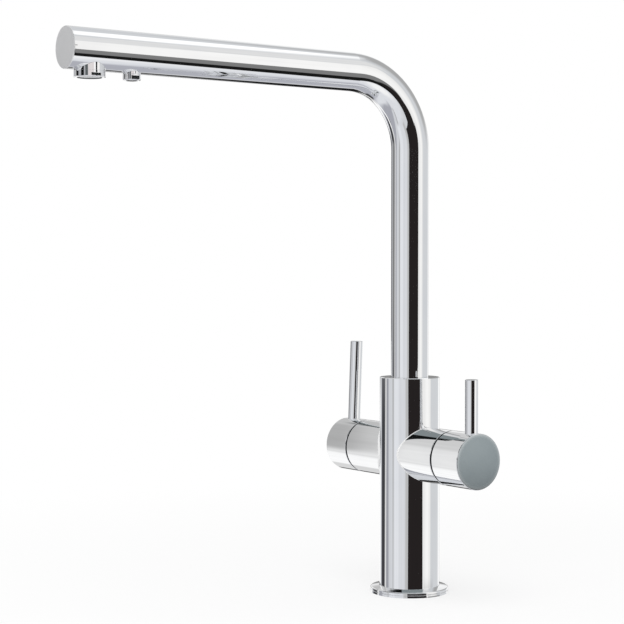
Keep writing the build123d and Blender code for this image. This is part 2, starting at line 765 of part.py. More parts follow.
# ---- spout tube, its end cap and the line inside it ------------------------------------
def bent_pipe(foot, reach, outer, bore):
    """Pipe that rises on the column's axis, bends forward and runs along the arm."""
    with BuildPart() as pipe:
        with BuildLine(Plane.YZ):
            FilletPolyline((0, foot), (0, arm_height), (-reach, arm_height), radius=bend_radius)
        with BuildSketch(height(foot)):
            Circle(outer)
            Circle(bore, mode=Mode.SUBTRACT)
        sweep()
    return pipe


with BuildPart() as spout_tube:
    add(bent_pipe(tube_foot, arm_cap_start, tube_radius, tube_bore).part)
    with BuildSketch(height(arm_height)):
        with Locations((0, -main_outlet_station)):
            Circle(main_thread_radius + seat_gap)
        with Locations((0, -filter_outlet_station)):
            Circle(stem_radius + seat_gap)
    extrude(amount=-tube_diameter, mode=Mode.SUBTRACT)
spout_tube.part.label = "spout_tube"
export_step(spout_tube.part, "parts/spout_tube.step")

arm_end = Plane(origin=(0, -arm_reach, arm_height), x_dir=(1, 0, 0), z_dir=(0, 1, 0))
with BuildPart() as spout_end_cap:
    with BuildSketch(arm_end):
        Circle(tube_radius)
    extrude(amount=end_cap_thickness)
    chamfer(spout_end_cap.edges().sort_by(Axis.Y)[0], rim_chamfer)
    with BuildSketch(arm_end):
        Circle(tube_bore - seat_gap)
    extrude(amount=end_cap_thickness + end_plug_length)
spout_end_cap.part.label = "spout_end_cap"
export_step(spout_end_cap.part, "parts/spout_end_cap.step")

filter_tube = bent_pipe(filter_socket_bottom + seat_gap, elbow_socket_end - seat_gap,
                        filter_tube_radius, filter_tube_bore / 2)
filter_tube.part.label = "filter_tube"
export_step(filter_tube.part, "parts/filter_tube.step")

# ---- outlets ---------------------------------------------------------------------------
arm_line = Plane(origin=(0, -arm_reach, arm_height), x_dir=(1, 0, 0), z_dir=(0, 1, 0))
bosses = {
    "main": (main_outlet_station, main_outlet_radius, main_thread_radius),
    "filter": (filter_outlet_station, filter_outlet_radius, stem_radius),
}
for water, (station, outer, thread) in bosses.items():
    with BuildPart() as boss:
        with BuildSketch(height(boss_bottom)):
            with Locations((0, -station)):
                Circle(outer)
                Circle(thread + seat_gap, mode=Mode.SUBTRACT)
        extrude(amount=tube_radius)
        with BuildSketch(arm_line):
            Circle(tube_radius + seat_gap)
        extrude(amount=arm_reach, mode=Mode.SUBTRACT)
    boss.part.label = f"{water}_outlet_boss"
    export_step(boss.part, f"parts/{water}_outlet_boss.step")


def wrench_slabs(station, width, outer):
    """Two slabs that cut a wrench's flats into the sides of an outlet."""
    with BuildPart() as slabs:
        with BuildSketch(height(outlet_bottom + flat_lift)):
            for edge in (-1, 1):
                with Locations((edge * (width + outer) / 2, -station)):
                    Rectangle(outer, 2 * outer)
        extrude(amount=boss_bottom - outlet_bottom - flat_lift)
    return slabs.part


with BuildPart() as aerator_housing:
    with BuildSketch(height(outlet_bottom)):
        with Locations((0, -main_outlet_station)):
            Circle(main_outlet_radius)
    extrude(amount=boss_bottom - outlet_bottom)
    chamfer(aerator_housing.edges().sort_by(Axis.Z)[0], rim_chamfer)
    add(wrench_slabs(main_outlet_station, main_flat_width, main_outlet_radius), mode=Mode.SUBTRACT)
    with BuildSketch(height(outlet_bottom + flat_lift)):
        with Locations((0, -main_outlet_station)):
            Circle(main_thread_radius)
    extrude(amount=boss_bottom - outlet_bottom - flat_lift + aerator_thread_height)
    with BuildSketch(height(outlet_bottom)):
        with Locations((0, -main_outlet_station)):
            Circle(aerator_bore_diameter / 2)
    extrude(amount=boss_bottom - outlet_bottom + aerator_thread_height, mode=Mode.SUBTRACT)
aerator_housing.part.label = "aerator_housing"
export_step(aerator_housing.part, "parts/aerator_housing.step")

insert_radius = aerator_bore_diameter / 2 - seat_gap
with BuildPart() as aerator_insert:
    with BuildSketch(height(outlet_bottom + insert_recess)):
        with Locations((0, -main_outlet_station)):
            Circle(insert_radius)
    extrude(amount=aerator_insert_height)
    with BuildSketch(height(outlet_bottom + insert_recess + insert_floor)):
        with Locations((0, -main_outlet_station)):
            Circle(insert_radius - insert_wall)
    extrude(amount=aerator_insert_height, mode=Mode.SUBTRACT)
    with BuildSketch(height(outlet_bottom + insert_recess)):
        with Locations((0, -main_outlet_station)):
            with HexLocations(insert_hole_pitch, 5, 5):
                Circle(insert_hole_radius)
    extrude(amount=insert_floor, mode=Mode.SUBTRACT)
aerator_insert.part.label = "aerator_insert"
export_step(aerator_insert.part, "parts/aerator_insert.step")

with BuildPart() as aerator_seal:
    with BuildSketch(height(boss_bottom + aerator_thread_height)):
        with Locations((0, -main_outlet_station)):
            Circle(main_thread_radius)
            Circle(aerator_seal_bore / 2, mode=Mode.SUBTRACT)
    extrude(amount=aerator_seal_thickness)
aerator_seal.part.label = "aerator_seal"
export_step(aerator_seal.part, "parts/aerator_seal.step")

with BuildPart() as filter_elbow:
    with BuildSketch(Plane(origin=(0, -elbow_end, arm_height), x_dir=(1, 0, 0), z_dir=(0, 1, 0))):
        Circle(elbow_radius)
    extrude(amount=elbow_length)
    with BuildSketch(height(stem_end)):
        with Locations((0, -filter_outlet_station)):
            Circle(stem_radius)
    extrude(amount=arm_height - stem_end)
    with BuildSketch(Plane(origin=(0, -elbow_mouth, arm_height), x_dir=(1, 0, 0), z_dir=(0, -1, 0))):
        Circle(filter_tube_radius + seat_gap)
    extrude(amount=socket_depth, mode=Mode.SUBTRACT)
    with BuildSketch(Plane(origin=(0, -elbow_mouth, arm_height), x_dir=(1, 0, 0), z_dir=(0, -1, 0))):
        Circle(filter_tube_bore / 2)
    extrude(amount=filter_outlet_station - elbow_mouth, mode=Mode.SUBTRACT)
    with BuildSketch(height(stem_end)):
        with Locations((0, -filter_outlet_station)):
            Circle(filter_tube_bore / 2)
    extrude(amount=arm_height - stem_end, mode=Mode.SUBTRACT)
filter_elbow.part.label = "filter_elbow"
export_step(filter_elbow.part, "parts/filter_elbow.step")

with BuildPart() as filter_nozzle:
    with BuildSketch(height(outlet_bottom)):
        with Locations((0, -filter_outlet_station)):
            Circle(filter_outlet_radius)
    extrude(amount=boss_bottom - outlet_bottom)
    chamfer(filter_nozzle.edges().sort_by(Axis.Z)[0], filter_nozzle_chamfer)
    add(wrench_slabs(filter_outlet_station, filter_flat_width, filter_outlet_radius),
        mode=Mode.SUBTRACT)
    with BuildSketch(height(outlet_bottom)):
        with Locations((0, -filter_outlet_station)):
            Circle(nozzle_bore_diameter / 2)
    extrude(amount=boss_bottom - outlet_bottom, mode=Mode.SUBTRACT)
    with BuildSketch(height(stem_end)):
        with Locations((0, -filter_outlet_station)):
            Circle(stem_radius + seat_gap)
    extrude(amount=boss_bottom - stem_end, mode=Mode.SUBTRACT)
filter_nozzle.part.label = "filter_nozzle"
export_step(filter_nozzle.part, "parts/filter_nozzle.step")

with BuildPart() as filter_insert:
    with BuildSketch(height(outlet_bottom + insert_recess)):
        with Locations((0, -filter_outlet_station)):
            Circle(nozzle_bore_diameter / 2 - seat_gap)
            with PolarLocations(filter_insert_hole_circle, 6):
                Circle(filter_insert_hole_radius, mode=Mode.SUBTRACT)
            Circle(filter_insert_hole_radius, mode=Mode.SUBTRACT)
    extrude(amount=filter_insert_height)
filter_insert.part.label = "filter_insert"
export_step(filter_insert.part, "parts/filter_insert.step")
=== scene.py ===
"""Dressed model of a three way filtered water tap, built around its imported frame."""

import json
import logging
import math
from dataclasses import dataclass, field
from enum import Enum
from typing import Any, Iterable, Mapping, NamedTuple, Optional, Sequence, Union

import bmesh
import bpy
from mathutils import Matrix, Vector


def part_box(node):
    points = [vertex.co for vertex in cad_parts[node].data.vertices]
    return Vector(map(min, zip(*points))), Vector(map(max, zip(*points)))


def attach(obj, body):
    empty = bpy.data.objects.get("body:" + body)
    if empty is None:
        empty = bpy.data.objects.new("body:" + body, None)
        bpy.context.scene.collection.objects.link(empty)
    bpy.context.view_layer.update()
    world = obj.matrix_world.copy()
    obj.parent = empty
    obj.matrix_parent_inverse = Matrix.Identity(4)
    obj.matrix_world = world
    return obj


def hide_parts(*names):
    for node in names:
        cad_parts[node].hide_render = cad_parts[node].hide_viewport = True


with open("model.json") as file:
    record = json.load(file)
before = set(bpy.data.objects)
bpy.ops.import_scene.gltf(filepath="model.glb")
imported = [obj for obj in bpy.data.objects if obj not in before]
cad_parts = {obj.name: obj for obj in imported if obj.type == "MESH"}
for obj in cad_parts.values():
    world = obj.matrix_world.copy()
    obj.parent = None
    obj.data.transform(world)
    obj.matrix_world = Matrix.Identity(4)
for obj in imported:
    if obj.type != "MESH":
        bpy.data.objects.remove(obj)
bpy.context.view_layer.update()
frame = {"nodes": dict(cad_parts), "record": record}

LOG = logging.getLogger("tap")
MM = 0.001

# Finishes: how far a zone of satin, painted shade or painted highlight goes on beside its place in metres,
# texture per metre, and shares of it.
SATIN_REACH = 0.0007
SEAM_REACH = 0.00004
CORE_EDGE = 0.0001
CLOUD_SCALE = 45.0
SATIN_GRAIN_SCALE = 2500.0
PATCH_SHARE = 0.08
MARKS_SHARE = 0.6
STAIN_RANGE = (0.4, 0.75)
SHADE_RANGE = (0.3, 0.7)
COARSE_DETAIL, MIDDLE_DETAIL, FINE_DETAIL = 2.0, 3.0, 4.0
SOFT_ROUGHNESS = 0.55
ALONG_X, ALONG_Y = 0, 1

# Studio: least divisors, so that no division runs away.
LEAST_LEVEL_PART = 0.001
LEAST_COSINE = 0.01

# Meshes: how finely they are cut, and how far a tool reaches past the surface in millimetres.
MERGE_DISTANCE = 0.0001
ROUNDING_STEPS = 4
CROWN_STEPS = 12
SCREW_STEPS = 48
INSERT_STEPS = 64
LEVER_STEPS = 96
SPOUT_STEPS = 128
BARREL_STEPS = 160
FLANGE_STEPS = 192
CREASE = math.radians(32.0)
OVERCUT = 1.0
RIM_BAND = 0.1
ROW_SPACING = math.sqrt(0.75)
CELL_TURN = 30.0

Triple = tuple[float, float, float]
Colour = Triple
WHITE = (1.0, 1.0, 1.0)


# ---------------------------------------------------------------------------------------
# Shader maths
# ---------------------------------------------------------------------------------------


class Signal:
    """A number that a node gives; Python operators on it add the Math nodes."""

    def __init__(self, shader: "Shader", socket: bpy.types.NodeSocket) -> None:
        """Wraps a socket.

        Args:
            shader: The node tree's builder.
            socket: The output that carries the number.
        """
        self.shader = shader
        self.socket = socket

    def _math(self, operation: str, *others: "Number", first: bool = True) -> "Signal":
        """Adds one Math node.

        Args:
            operation: Blender's name of the operation.
            others: The other operands.
            first: Whether this signal is the first operand.

        Returns:
            The node's result.
        """
        operands = [self, *others] if first else [*others, self]
        node = self.shader.node("ShaderNodeMath", {"operation": operation}, dict(enumerate(operands)))
        return Signal(self.shader, node.outputs[0])

    def __add__(self, other: "Number") -> "Signal":
        """self + other."""
        return self._math("ADD", other)

    __radd__ = __add__

    def __sub__(self, other: "Number") -> "Signal":
        """self - other."""
        return self._math("SUBTRACT", other)

    def __rsub__(self, other: "Number") -> "Signal":
        """other - self."""
        return self._math("SUBTRACT", other, first=False)

    def __mul__(self, other: "Number") -> "Signal":
        """self * other."""
        return self._math("MULTIPLY", other)

    __rmul__ = __mul__

    def __truediv__(self, other: "Number") -> "Signal":
        """self / other."""
        return self._math("DIVIDE", other)

    def __rtruediv__(self, other: "Number") -> "Signal":
        """other / self."""
        return self._math("DIVIDE", other, first=False)

    def __abs__(self) -> "Signal":
        """Distance from zero."""
        return self._math("ABSOLUTE")

    def sqrt(self) -> "Signal":
        """Square root."""
        return self._math("SQRT")

    def cosine(self) -> "Signal":
        """Cosine of an angle in radians."""
        return self._math("COSINE")

    def arctangent(self) -> "Signal":
        """Angle in radians whose tangent this is."""
        return self._math("ARCTANGENT")

    def angle_to(self, across: "Signal") -> "Signal":
        """Angle in radians of the direction (across, self)."""
        return self._math("ARCTAN2", across)

    def wrapped(self, half: float) -> "Signal":
        """The value brought between -half and half by whole turns."""
        return self._math("WRAP", half, -half)

    def greatest(self, other: "Number") -> "Signal":
        """The greater of two values."""
        return self._math("MAXIMUM", other)

    def ease(self, start: float, end: float) -> "Signal":
        """Smooth step between two values.

        Args:
            start: Where the result is 0.
            end: Where the result is 1.

        Returns:
            A value from 0 to 1.
        """
        settings = {"interpolation_type": "SMOOTHSTEP"}
        inputs = {0: self, 1: start, 2: end, 3: 0.0, 4: 1.0}
        node = self.shader.node("ShaderNodeMapRange", settings, inputs)
        return Signal(self.shader, node.outputs[0])

    def spread(self, low: float, high: float) -> "Signal":
        """The range 0 to 1 stretched to low to high."""
        return self * (high - low) + low


Number = Union[Signal, float]
Input = Union[Signal, bpy.types.NodeSocket, float, Sequence[float]]
Inputs = Mapping[Union[int, str], Input]


class Shader:
    """Builds the nodes of one tree."""

    def __init__(self, tree: bpy.types.NodeTree) -> None:
        """Empties the tree.

        Args:
            tree: The tree of a material or of the world.
        """
        self.tree = tree
        tree.nodes.clear()

    def node(
        self, kind: str, settings: Optional[Mapping[str, Any]] = None, inputs: Optional[Inputs] = None
    ) -> bpy.types.Node:
        """Adds any node.

        Args:
            kind: The node's type.
            settings: Its properties, set first.
            inputs: Values or links for its sockets, by name or index.

        Returns:
            The new node.
        """
        made = self.tree.nodes.new(kind)
        for name, value in (settings or {}).items():
            setattr(made, name, value)
        for key, value in (inputs or {}).items():
            socket = made.inputs[key]
            if isinstance(value, Signal):
                value = value.socket
            if isinstance(value, bpy.types.NodeSocket):
                self.tree.links.new(value, socket)
            else:
                socket.default_value = value
        return made

    def point(
        self, scale: Triple = (1.0, 1.0, 1.0), moved: Triple = (0.0, 0.0, 0.0)
    ) -> bpy.types.NodeSocket:
        """Object coordinates, scaled along each axis and then moved.

        Args:
            scale: Factor of each axis.
            moved: How far the scaled point is moved.

        Returns:
            The vector output.
        """
        place = self.node("ShaderNodeTexCoord").outputs["Object"]
        return self.mapped(place, scale, moved)

    def mapped(
        self, vector: bpy.types.NodeSocket, scale: Triple, moved: Triple = (0.0, 0.0, 0.0)
    ) -> bpy.types.NodeSocket:
        """A vector scaled along each axis and then moved."""
        inputs = {"Vector": vector, "Location": moved, "Scale": scale}
        return self.node("ShaderNodeMapping", inputs=inputs).outputs[0]

    def noise(
        self, where: bpy.types.NodeSocket, scale: float = 1.0, detail: float = MIDDLE_DETAIL
    ) -> Signal:
        """Noise from 0 to 1 at a point."""
        inputs = {"Vector": where, "Scale": scale, "Detail": detail, "Roughness": SOFT_ROUGHNESS}
        return Signal(self, self.node("ShaderNodeTexNoise", inputs=inputs).outputs[0])

    def clouds(self) -> Signal:
        """Wide soft patches from 0 to 1."""
        return self.noise(self.point(), CLOUD_SCALE)

    def split(self, vector: bpy.types.NodeSocket) -> tuple[Signal, Signal, Signal]:
        """The three parts of a vector."""
        parts = self.node("ShaderNodeSeparateXYZ", inputs={0: vector}).outputs
        return Signal(self, parts[0]), Signal(self, parts[1]), Signal(self, parts[2])

    def camera_ray(self) -> Signal:
        """1 for what the camera sees, otherwise 0."""
        return Signal(self, self.node("ShaderNodeLightPath").outputs["Is Camera Ray"])

    def mirrored_ray(self) -> Signal:
        """1 for what metal or glass sees, otherwise 0."""
        path = self.node("ShaderNodeLightPath").outputs
        return Signal(self, path["Is Glossy Ray"]).greatest(Signal(self, path["Is Transmission Ray"]))

    def blend(self, factor: Number, first: Input, second: Input) -> bpy.types.NodeSocket:
        """Colour between two colours."""
        inputs = {0: factor, 6: opaque(first), 7: opaque(second)}
        return self.node("ShaderNodeMix", {"data_type": "RGBA"}, inputs).outputs[2]

    def bump(self, height: Signal, depth: float) -> bpy.types.NodeSocket:
        """Normal of a relief.

        Args:
            height: Relief from 0 to 1.
            depth: Its depth in metres.

        Returns:
            The normal output.
        """
        inputs = {"Strength": 1.0, "Distance": depth, "Height": height}
        return self.node("ShaderNodeBump", inputs=inputs).outputs[0]


def opaque(colour: Input) -> Input:
    """A plain colour with full alpha; a link stays as it is."""
    return (*colour, 1.0) if isinstance(colour, tuple) else colour


# ---------------------------------------------------------------------------------------
# Finishes
# ---------------------------------------------------------------------------------------


class Grain(Enum):
    """How a metal surface was worked: how close its marks lie along each axis, and their detail."""

    POLISHED = ((220.0, 220.0, 220.0), FINE_DETAIL)
    TURNED = ((60.0, 60.0, 5200.0), COARSE_DETAIL)
    DRAWN = ((3800.0, 3800.0, 40.0), COARSE_DETAIL)


@dataclass(frozen=True)
class Metal:
    """A bare or plated metal.

    Attributes:
        name: The material's name.
        colour: Colour of its reflections.
        stain: Colour where it has dulled.
        roughness: Least and greatest roughness.
        grain: How it was worked.
        relief: Depth of its marks in metres.
    """

    name: str
    colour: Colour
    stain: Colour
    roughness: tuple[float, float]
    grain: Grain
    relief: float

    def marks(self, shader: Shader) -> Signal:
        """Tool marks from 0 to 1 over the surface."""
        closeness, detail = self.grain.value
        return shader.noise(shader.point(closeness), detail=detail)

    def stained(self, shader: Shader, clouds: Signal) -> bpy.types.NodeSocket:
        """Its colour, dulled where the clouds are thick."""
        return shader.blend(clouds.ease(*STAIN_RANGE), self.colour, self.stain)

    def material(self) -> bpy.types.Material:
        """Builds the material.

        Returns:
            The material, with its nodes.
        """
        made, shader = new_material(self.name)
        marks = self.marks(shader)
        clouds = shader.clouds()
        inputs = {
            "Base Color": self.stained(shader, clouds),
            "Metallic": 1.0,
            "Roughness": (marks * MARKS_SHARE + clouds * (1.0 - MARKS_SHARE)).spread(*self.roughness),
            "Normal": shader.bump(marks, self.relief),
        }
        close_material(shader, inputs)
        return made


@dataclass(frozen=True)
class Moulded:
    """Moulded plastic, rubber or fired ceramic.

    Attributes:
        name: The material's name.
        colour: Its colour.
        shade: The colour of its duller patches.
        roughness: Least and greatest roughness.
        pores: Scale of its texture, per metre.
        relief: Depth of its texture in metres.
        ior: Index of refraction.
    """

    name: str
    colour: Colour
    shade: Colour
    roughness: tuple[float, float]
    pores: float
    relief: float
    ior: float = 1.5

    def material(self) -> bpy.types.Material:
        """Builds the material.

        Returns:
            The material, with its nodes.
        """
        made, shader = new_material(self.name)
        texture = shader.noise(shader.point(), self.pores, FINE_DETAIL)
        patches = shader.noise(shader.point(), self.pores * PATCH_SHARE, COARSE_DETAIL)
        inputs = {
            "Base Color": shader.blend(patches.ease(*SHADE_RANGE), self.colour, self.shade),
            "Roughness": texture.spread(*self.roughness),
            "IOR": self.ior,
            "Normal": shader.bump(texture, self.relief),
        }
        close_material(shader, inputs)
        return made


@dataclass(frozen=True)
class SatinAndPaintedLight:
    """What a zone of a polished piece looks like: a satin face, painted shade or a painted highlight.

    Attributes:
        colour: Its colour.
        shade: Its colour where it is duller still.
        roughness: Its least and greatest roughness.
        metallic: How metallic it is.
    """

    colour: Colour
    shade: Colour
    roughness: tuple[float, float]
    metallic: float


@dataclass(frozen=True)
class Zone:
    """A part of a polished piece with its own look: a satin face, painted shade or a painted highlight.

    Attributes:
        look: What it looks like.
    """

    look: SatinAndPaintedLight

    def mask(self, shader: Shader) -> Signal:
        """1 in the zone and 0 beside it."""
        raise NotImplementedError


@dataclass(frozen=True)
class EndFace(Zone):
    """A flat face square to an axis.

    Attributes:
        axis: 0, 1 or 2 for the axis.
        plane: The face's place on it, in metres.
        reach: How far beside that place the zone still goes on, in metres.
    """

    axis: int
    plane: float
    reach: float

    def mask(self, shader: Shader) -> Signal:
        """1 on the face and 0 beside it."""
        beside = abs(shader.split(shader.point())[self.axis] - self.plane)
        return beside.ease(self.reach, self.reach / 2)


@dataclass(frozen=True)
class Core(Zone):
    """All that lies close to an upright axis.

    Attributes:
        forwards: How far forward the axis lies, in metres.
        radius: How far from the axis the zone reaches, in metres.
    """

    forwards: float
    radius: float

    def mask(self, shader: Shader) -> Signal:
        """1 near the axis and 0 farther out."""
        x, y, _ = shader.split(shader.point(moved=(0.0, self.forwards, 0.0)))
        return (x * x + y * y).sqrt().ease(self.radius + CORE_EDGE, self.radius)


@dataclass(frozen=True)
class Zoned:
    """A polished metal with zones of satin, painted shade and painted highlight.

    Attributes:
        name: The material's name.
        metal: The polished metal.
        zones: The zones of satin, painted shade and painted highlight, later ones over earlier ones.
    """

    name: str
    metal: Metal
    zones: tuple[Zone, ...]

    def material(self) -> bpy.types.Material:
        """Builds the material.

        Returns:
            The material, with its nodes.
        """
        made, shader = new_material(self.name)
        clouds = shader.clouds()
        grain = shader.noise(shader.point(), SATIN_GRAIN_SCALE)
        colour = self.metal.stained(shader, clouds)
        rough = clouds.spread(*self.metal.roughness)
        metallic: Number = 1.0
        # Each zone lays its colour over the metal: satin faces, painted shade in seams and bores, and
        # painted highlights on rims.
        for zone in self.zones:
            look, mask = zone.look, zone.mask(shader)
            zone_colour = shader.blend(clouds.ease(*SHADE_RANGE), look.colour, look.shade)
            colour = shader.blend(mask, colour, zone_colour)
            rough = rough + (grain.spread(*look.roughness) - rough) * mask
            metallic = mask * (look.metallic - metallic) + metallic
        close_material(shader, {"Base Color": colour, "Metallic": metallic, "Roughness": rough})
        return made


def new_material(name: str) -> tuple[bpy.types.Material, Shader]:
    """Starts an empty material.

    Args:
        name: The material's name.

    Returns:
        The material and the builder of its nodes.
    """
    made = bpy.data.materials.new(name)
    made.use_nodes = True
    return made, Shader(made.node_tree)


def close_material(shader: Shader, inputs: Inputs) -> None:
    """Adds the surface and the output of a material.

    Args:
        shader: The material's builder.
        inputs: Values and links of the Principled surface.
    """
    surface = shader.node("ShaderNodeBsdfPrincipled", inputs=inputs)
    shader.node("ShaderNodeOutputMaterial", inputs={"Surface": surface.outputs[0]})


CHROME = Metal(
    "polished_chrome", (0.90, 0.905, 0.91), (0.88, 0.885, 0.895), (0.02, 0.05), Grain.POLISHED, 0.0
)
BRASS = Metal("turned_brass", (0.78, 0.58, 0.27), (0.62, 0.43, 0.19), (0.18, 0.36), Grain.TURNED, 4e-6)
# Painted shade: near black brass for the pieces seen through the barrels' seams, standing in for the shade
# in the seams.
SEAM_SHADE_BRASS = Metal(
    "brass_painted_dark_for_seam_shade", (0.05, 0.048, 0.045), (0.03, 0.029, 0.028), (0.35, 0.55), Grain.TURNED, 4e-6
)
COPPER = Metal("drawn_copper", (0.86, 0.46, 0.31), (0.62, 0.30, 0.20), (0.2, 0.42), Grain.DRAWN, 3e-6)
STEEL = Metal("stainless_steel", (0.62, 0.61, 0.59), (0.52, 0.51, 0.50), (0.2, 0.34), Grain.TURNED, 3e-6)
RUBBER = Moulded("black_rubber", (0.016, 0.016, 0.017), (0.028, 0.028, 0.029), (0.55, 0.8), 2200.0, 2e-5)
CERAMIC = Moulded("fired_ceramic", (0.86, 0.85, 0.80), (0.80, 0.79, 0.75), (0.12, 0.26), 1400.0, 2e-6, 1.7)
PLASTIC = Moulded("white_plastic", (0.78, 0.79, 0.80), (0.72, 0.73, 0.75), (0.3, 0.48), 1600.0, 6e-6)
PIPE_PLASTIC = Moulded("pipe_plastic", (0.70, 0.76, 0.84), (0.62, 0.70, 0.80), (0.25, 0.4), 900.0, 5e-6)

# Painted shade: near black and not metallic, for the gaps of the barrels' seams and the insides of the
# outlets' bores, where the chrome lies in shade.
PAINTED_SHADE_BLACK = SatinAndPaintedLight((0.012, 0.016, 0.018), (0.012, 0.016, 0.018), (0.5, 0.7), 0.0)
# Satin end of each cap: a real satin finish, whose dim teal-grey colour is also a painted reflection of the
# surroundings.
CAP_SATIN_PAINTED_REFLECTION = SatinAndPaintedLight((0.35, 0.4, 0.42), (0.32, 0.37, 0.39), (0.26, 0.32), 1.0)
ARM_SATIN = SatinAndPaintedLight((0.86, 0.86, 0.86), (0.82, 0.82, 0.82), (0.3, 0.36), 0.66)
# Painted highlight: near white and not metallic, for the ring along each housing's saddle edge.
PAINTED_RIM_HIGHLIGHT = SatinAndPaintedLight((0.97, 0.97, 0.97), (0.94, 0.94, 0.94), (0.34, 0.44), 0.0)

Finish = Union[Metal, Moulded, Zoned]

FINISH_OF_SLOT = {
    "chrome": CHROME,
    "brass": BRASS,
    "copper": COPPER,
    "steel": STEEL,
    "rubber": RUBBER,
    "ceramic": CERAMIC,
    "plastic": PLASTIC,
    "pipe_plastic": PIPE_PLASTIC,
}
# Pieces seen through the barrels' seams, coloured near black as painted shade.
SEEN_IN_SEAM = (
    "mixer_retaining_nut",
    "mixer_carrier",
    "filter_retaining_nut",
    "filter_gland",
    "filter_spindle",
)


# ---------------------------------------------------------------------------------------
# Studio
# ---------------------------------------------------------------------------------------


class Pole(Enum):
    """The axis that a card's azimuth turns about."""

    UPRIGHT = "upright"
    SIDEWAYS = "sideways"


@dataclass(frozen=True)
class Heading:
    """The direction that a ray takes, as angles about one pole.

    Attributes:
        azimuth: Angle about the pole, in degrees.
        slope: Tangent of the elevation.
        elevation: Angle towards the pole, in degrees.
    """

    azimuth: Signal
    slope: Signal
    elevation: Signal

    @classmethod
    def about(cls, across: Signal, ahead: Signal, along: Signal) -> "Heading":
        """Works out the angles of a direction.

        Args:
            across: Part of the direction at azimuth 90.
            ahead: Part at azimuth 0.
            along: Part along the pole.

        Returns:
            The heading.
        """
        slope = along / (across * across + ahead * ahead).sqrt().greatest(LEAST_LEVEL_PART)
        degrees = math.degrees(1.0)
        return cls(across.angle_to(ahead) * degrees, slope, slope.arctangent() * degrees)


@dataclass(frozen=True)
class Card:
    """A light or dark card of the studio, far from the tap, as polished metal sees it.

    Attributes:
        name: What it is.
        left: Azimuth of its first side at the horizon, in degrees.
        right: Azimuth of its other side.
        low: Elevation of its lower edge, in degrees.
        high: Elevation of its upper edge.
        level: Brightness, where 1 is white.
        soft: Width of the blur of its sides, in degrees.
        soft_ends: Width of the blur of its upper and lower edges.
        tint: Colour of its light.
        lean: How far its sides lean over, in degrees of azimuth where they are 45 degrees high.
        lowest: Azimuth where a straight lower edge is lowest; without it the edge is level.
        pole: Upright, with azimuth from +X towards +Y, or sideways, from the front over the top.
    """

    name: str
    left: float
    right: float
    low: float
    high: float
    level: float
    soft: float = 4.0
    soft_ends: float = 5.0
    tint: Colour = WHITE
    lean: float = 0.0
    lowest: Optional[float] = None
    pole: Pole = Pole.UPRIGHT

    def mask(self, heading: Heading) -> Signal:
        """Where the card is seen.

        Args:
            heading: The direction, about the card's pole.

        Returns:
            1 on the card and 0 beside it.
        """
        middle, half = (self.left + self.right) / 2, (self.right - self.left) / 2
        turn = heading.azimuth - middle
        if self.lean:
            turn = turn - heading.slope * self.lean
        beside = abs(turn.wrapped(180.0)).ease(half + self.soft / 2, half - self.soft / 2)
        height = heading.elevation
        if self.lowest is not None:
            ahead = ((heading.azimuth - self.lowest) * math.radians(1.0)).cosine().greatest(LEAST_COSINE)
            height = (heading.slope / ahead).arctangent() * math.degrees(1.0)
        above = height.ease(self.low - self.soft_ends / 2, self.low + self.soft_ends / 2)
        below = heading.elevation.ease(self.high + self.soft_ends / 2, self.high - self.soft_ends / 2)
        return beside * above * below

    def colour(self) -> Colour:
        """Colour of its light at its brightness."""
        return tuple(part * self.level for part in self.tint)


def hoop(
    name: str, left: float, right: float, level: float, soft: float, tint: Colour = WHITE,
    low: float = -55.8, high: float = -48.0, soft_edges: float = 1.2,
) -> Card:
    """A stretch of the round light beside the tap, which the side barrels mirror all along.

    Args:
        name: What it is.
        left: Its lower end, in degrees from the front over the top.
        right: Its other end.
        level: Brightness, where 1 is white.
        soft: Width of the blur of its ends, in degrees.
        tint: Colour of its light.
        low: Where its far edge lies, in degrees towards +X.
        high: Where its near edge lies.
        soft_edges: Width of the blur of its edges.

    Returns:
        The card.
    """
    return Card(name, left, right, low, high, level, soft, soft_edges, tint, pole=Pole.SIDEWAYS)


def drape(
    name: str, left: float, right: float, level: float, soft: float, tint: Colour = WHITE,
    low: float = 5.6, high: float = 12.0, soft_edges: float = 0.8,
) -> Card:
    """A card in the low band above the black card, which only the outlets mirror.

    Args:
        name: What it is.
        left: Azimuth of its first side, in degrees.
        right: Azimuth of its other side.
        level: Brightness, where 1 is white.
        soft: Width of the blur of its sides, in degrees.
        tint: Colour of its light.
        low: Elevation of its lower edge, in degrees.
        high: Elevation of its upper edge.
        soft_edges: Width of the blur of its edges.

    Returns:
        The card.
    """
    return Card(name, left, right, low, high, level, soft, soft_edges, tint)


COOL = (0.94, 0.958, 1.0)
LILAC = (0.89, 0.905, 1.0)
TEAL = (0.86, 0.97, 1.0)
WARM = (1.0, 0.992, 0.98)
BROWN = (1.0, 0.83, 0.83)
PINK = (1.0, 0.94, 0.935)

